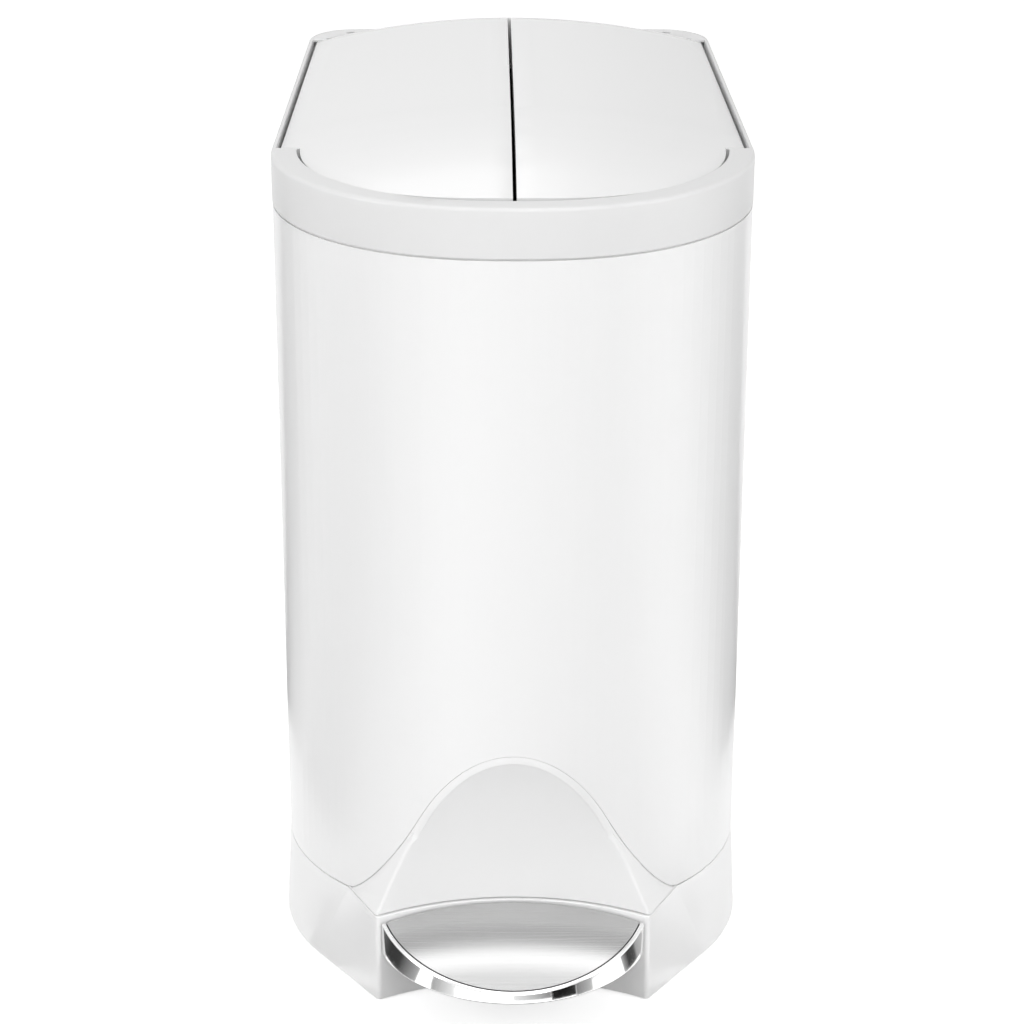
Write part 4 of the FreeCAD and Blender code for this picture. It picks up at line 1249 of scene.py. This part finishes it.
@dataclass
class Studio:
    """Floor, lights, camera and the glowing cards that the metal and the coats reflect, which are painted
    reflections.
    """

    pedal: Pedal
    camera_place: Point = (-0.01337, -1.377555, 0.75245)
    turn: float = 0.5803
    tilt: float = 21.998
    roll: float = 0.1586
    lens: float = 100.059
    sensor: float = 36.0
    clip: Pair = (0.05, 50.0)
    white: Colour = (1.0, 1.0, 1.0)
    fill: float = 0.30
    floor_size: float = 12.0
    floor_colour: Colour = (0.80, 0.80, 0.80)
    floor_roughness: float = 0.9
    floor_glow: float = 0.66
    # Painted reflections on the polished lip: glowing rings that only reflections see, whose tones give the
    # lip its dark patches, grey lines and bright bands.
    lip_cards: Tuple[RingCard, ...] = (
        RingCard((0.090, 0.0015), (0.165, 0.0040), ((-108, 0.16), (-92, 0.04), (-80, 0.05), (-62, 0.42))),
        RingCard((0.094, 0.0015), (0.180, 0.0300), ((-50, 0.38), (-42, 0.66), (-34, 0.95))),
        RingCard((0.106, 0.0015), (0.190, 0.0300), ((0, 0.90), (22, 0.26))),
        RingCard((0.099, 0.0015), (0.190, 0.0420), ((22, 0.005), (37, 0.02))),
        RingCard((0.096, 0.0015), (0.180, 0.0420), ((37, 0.24), (48, 0.55))),
        RingCard((0.091, 0.0015), (0.165, 0.0080), (
            (75, 0.40), (81, 0.05), (89, 0.09), (92, 0.4), (104, 0.55))),
        RingCard((0.036, 0.0010), (0.078, 0.0010), ((-100, 0.16), (100, 0.16))),
    )
    # Painted reflections on the coated body and lids: glowing rings on the floor and a tall drum behind,
    # which only reflections see, whose tones give soft upright bands of light and dark.
    body_cards: Tuple[RingCard, ...] = (
        RingCard((0.24, 0.002), (1.6, 0.002), (
            (-140, 0.0), (-118, 0.6), (-100, 0.95), (-84, 0.5), (-66, 0.1), (-52, 1.0), (-39, 1.45),
            (-26, 2.25), (-13, 2.3), (-6, 1.9), (1, 1.5), (9, 1.15), (30, 0.95), (43, 1.0), (57, 1.9),
            (72, 1.9), (88, 1.1), (104, 0.35), (120, 0.35), (140, 0.2))),
        RingCard((3.0, 0.5), (3.0, 2.15), ((120, 0.68), (166, 0.76), (178, 1.0), (215, 1.0))),
        RingCard((3.0, 2.2), (3.0, 5.4), ((172, 1.0), (178, 2.1), (215, 2.0), (222, 1.0))),
    )
    # Painted highlight on the tread: height and brightness of each row of a glowing card that only
    # reflections see.
    sheen: Tuple[Pair, ...] = ((0.056, 0.80), (0.064, 0.66), (0.074, 0.66), (0.083, 1.4), (0.089, 2.3),
                               (0.097, 2.3), (0.104, 1.3), (0.114, 1.12), (0.128, 1.05))
    sheen_gap: float = 0.0015
    sheen_foot: float = 0.015
    sheen_sweep: float = 30.0
    sheen_columns: int = 16
    sheen_rise: float = 0.006
    sheen_rise_width: float = 0.055
    scoop_radius: float = 0.1446
    soft_boxes: Tuple[SoftBox, ...] = (
        SoftBox("front_box", (0.25, -2.6, 1.5), (0.0, 0.0, 0.25), (1.6, 1.6), 16.5),
        SoftBox("low_box", (0.7, -2.0, 0.42), (0.0, 0.0, 0.12), (1.2, 0.8), 2.0),
        SoftBox("top_box", (0.0, -0.45, 2.6), (0.0, 0.0, 0.3), (1.8, 1.8), 21.5),
        SoftBox("left_box", (-2.2, -1.1, 1.1), (0.0, 0.0, 0.2), (1.2, 1.6), 22.5),
        SoftBox("right_box", (2.2, -1.1, 1.1), (0.0, 0.0, 0.2), (1.2, 1.6), 18.5),
    )

    def build(self) -> None:
        """Make the whole studio."""
        self._camera()
        self._world()
        self._floor()
        for index, card in enumerate(self.lip_cards):
            card.lay(f"lip_card_{index}", self.pedal.front_centre)
        for index, card in enumerate(self.body_cards):
            card.lay(f"body_card_{index}", 0.0)
        self._sheen()
        for box in self.soft_boxes:
            box.hang()
        bpy.context.scene.view_settings.view_transform = "Standard"

    def _camera(self) -> None:
        """Place the camera that frames the bin."""
        turn, tilt, roll = (math.radians(angle) for angle in (self.turn, self.tilt, self.roll))
        ahead = Vector((math.sin(turn) * math.cos(tilt), math.cos(turn) * math.cos(tilt), -math.sin(tilt)))
        side = Vector((math.cos(turn), -math.sin(turn), 0.0))
        down = Vector((-math.sin(tilt) * math.sin(turn), -math.sin(tilt) * math.cos(turn), -math.cos(tilt)))
        right = math.cos(roll) * side - math.sin(roll) * down
        up = -(math.sin(roll) * side + math.cos(roll) * down)
        data = bpy.data.cameras.new("studio_camera")
        data.lens = self.lens
        data.sensor_width = self.sensor
        data.clip_start, data.clip_end = self.clip
        camera = bpy.data.objects.new("studio_camera", data)
        rotation = Matrix((right, up, -ahead)).transposed().to_4x4()
        camera.matrix_world = Matrix.Translation(Vector(self.camera_place)) @ rotation
        bpy.context.scene.collection.objects.link(camera)
        bpy.context.scene.camera = camera

    @staticmethod
    def _seen(tree: bpy.types.NodeTree) -> Sum:
        """Tell the views that show white from the light on the bin.

        Args:
            tree: The tree of the floor's material or of the world.

        Returns:
            1 for what is seen straight, in polished metal or through glass.
        """
        path = add_node(tree, "ShaderNodeLightPath")
        straight, mirrored, through = (Sum(tree, path.outputs[f"Is {way} Ray"])
                                       for way in ("Camera", "Glossy", "Transmission"))
        return straight.larger(mirrored).larger(through)

    def _world(self) -> None:
        """Light the bin evenly and show white behind it."""
        world = bpy.data.worlds.new("studio_world")
        world.use_nodes = True
        tree = world.node_tree
        surround = tree.nodes["Background"]
        surround.inputs["Color"].default_value = rgba(self.white)
        surround.inputs["Strength"].default_value = self.fill
        backdrop = add_node(tree, "ShaderNodeBackground", Color=rgba(self.white))
        shown = mixed_shader(tree, self._seen(tree), surround.outputs[0], backdrop.outputs[0])
        tree.links.new(shown, tree.nodes["World Output"].inputs["Surface"])
        bpy.context.scene.world = world

    def _floor(self) -> None:
        """Lay a pale floor that keeps the bin's shadow and shows white around it."""
        work = bmesh.new()
        bmesh.ops.create_grid(work, x_segments=4, y_segments=4, size=self.floor_size / 2)
        floor = linked("studio_floor", work)
        material = bpy.data.materials.new("studio_floor")
        material.use_nodes = True
        tree = material.node_tree
        plain = tree.nodes["Principled BSDF"]
        plain.inputs["Base Color"].default_value = rgba(self.floor_colour)
        plain.inputs["Roughness"].default_value = self.floor_roughness
        lifted = add_node(tree, "ShaderNodeAddShader")
        glow = add_node(tree, "ShaderNodeEmission", Strength=self.floor_glow)
        for index, shader in enumerate((plain, glow)):
            tree.links.new(shader.outputs[0], lifted.inputs[index])
        shown = mixed_shader(tree, self._seen(tree), plain.outputs[0], lifted.outputs[0])
        tree.links.new(shown, tree.nodes["Material Output"].inputs["Surface"])
        floor.data.materials.append(material)

    def _sheen(self) -> None:
        """Stand a glowing card over the tread, just ahead of the scoop, seen only in reflection: a painted
        highlight that gives the tread its sheen.
        """
        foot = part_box("toe_arch_panel")[0][2] + self.sheen_foot
        plan_radius = self.pedal.rear_radius - self.sheen_gap
        turns = [math.radians(self.sheen_sweep * (2 * column / self.sheen_columns - 1))
                 for column in range(self.sheen_columns + 1)]
        rows = []
        for height, _ in self.sheen:
            above = max(0.0, height - foot)
            lean = self.scoop_radius - math.sqrt(self.scoop_radius ** 2 - above ** 2)
            row = []
            for turn in turns:
                x = plan_radius * math.sin(turn)
                rise = self.sheen_rise * max(0.0, 1 - (x / self.sheen_rise_width) ** 2)
                depth = self.pedal.rear_centre + plan_radius * math.cos(turn) - lean
                row.append((x, depth, height + rise))
            rows.append(row)
        lay_card("tread_sheen_card", rows, [tone for _, tone in self.sheen], one_sided=True)


def main() -> None:
    """Build the bin and its studio."""
    logging.basicConfig(level=logging.INFO, format="%(message)s")
    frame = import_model()
    bench = Bench(frame, Wardrobe())
    for node, obj in frame["nodes"].items():
        bench.wardrobe.dress(obj, bench.slots[node])
    pedal = Pedal(bench)
    assemblies: List[Assembly] = [Base(bench), SteelShell(bench), RimUnit(bench), LidPair(bench),
                                  RearCover(bench), LidDrive(bench), Bucket(bench), pedal]
    for assembly in assemblies:
        assembly.build()
        LOG.info("%s done, %d pieces so far", type(assembly).__name__, len(bench.made))
    Studio(pedal).build()


if __name__ == "__main__":
    main()
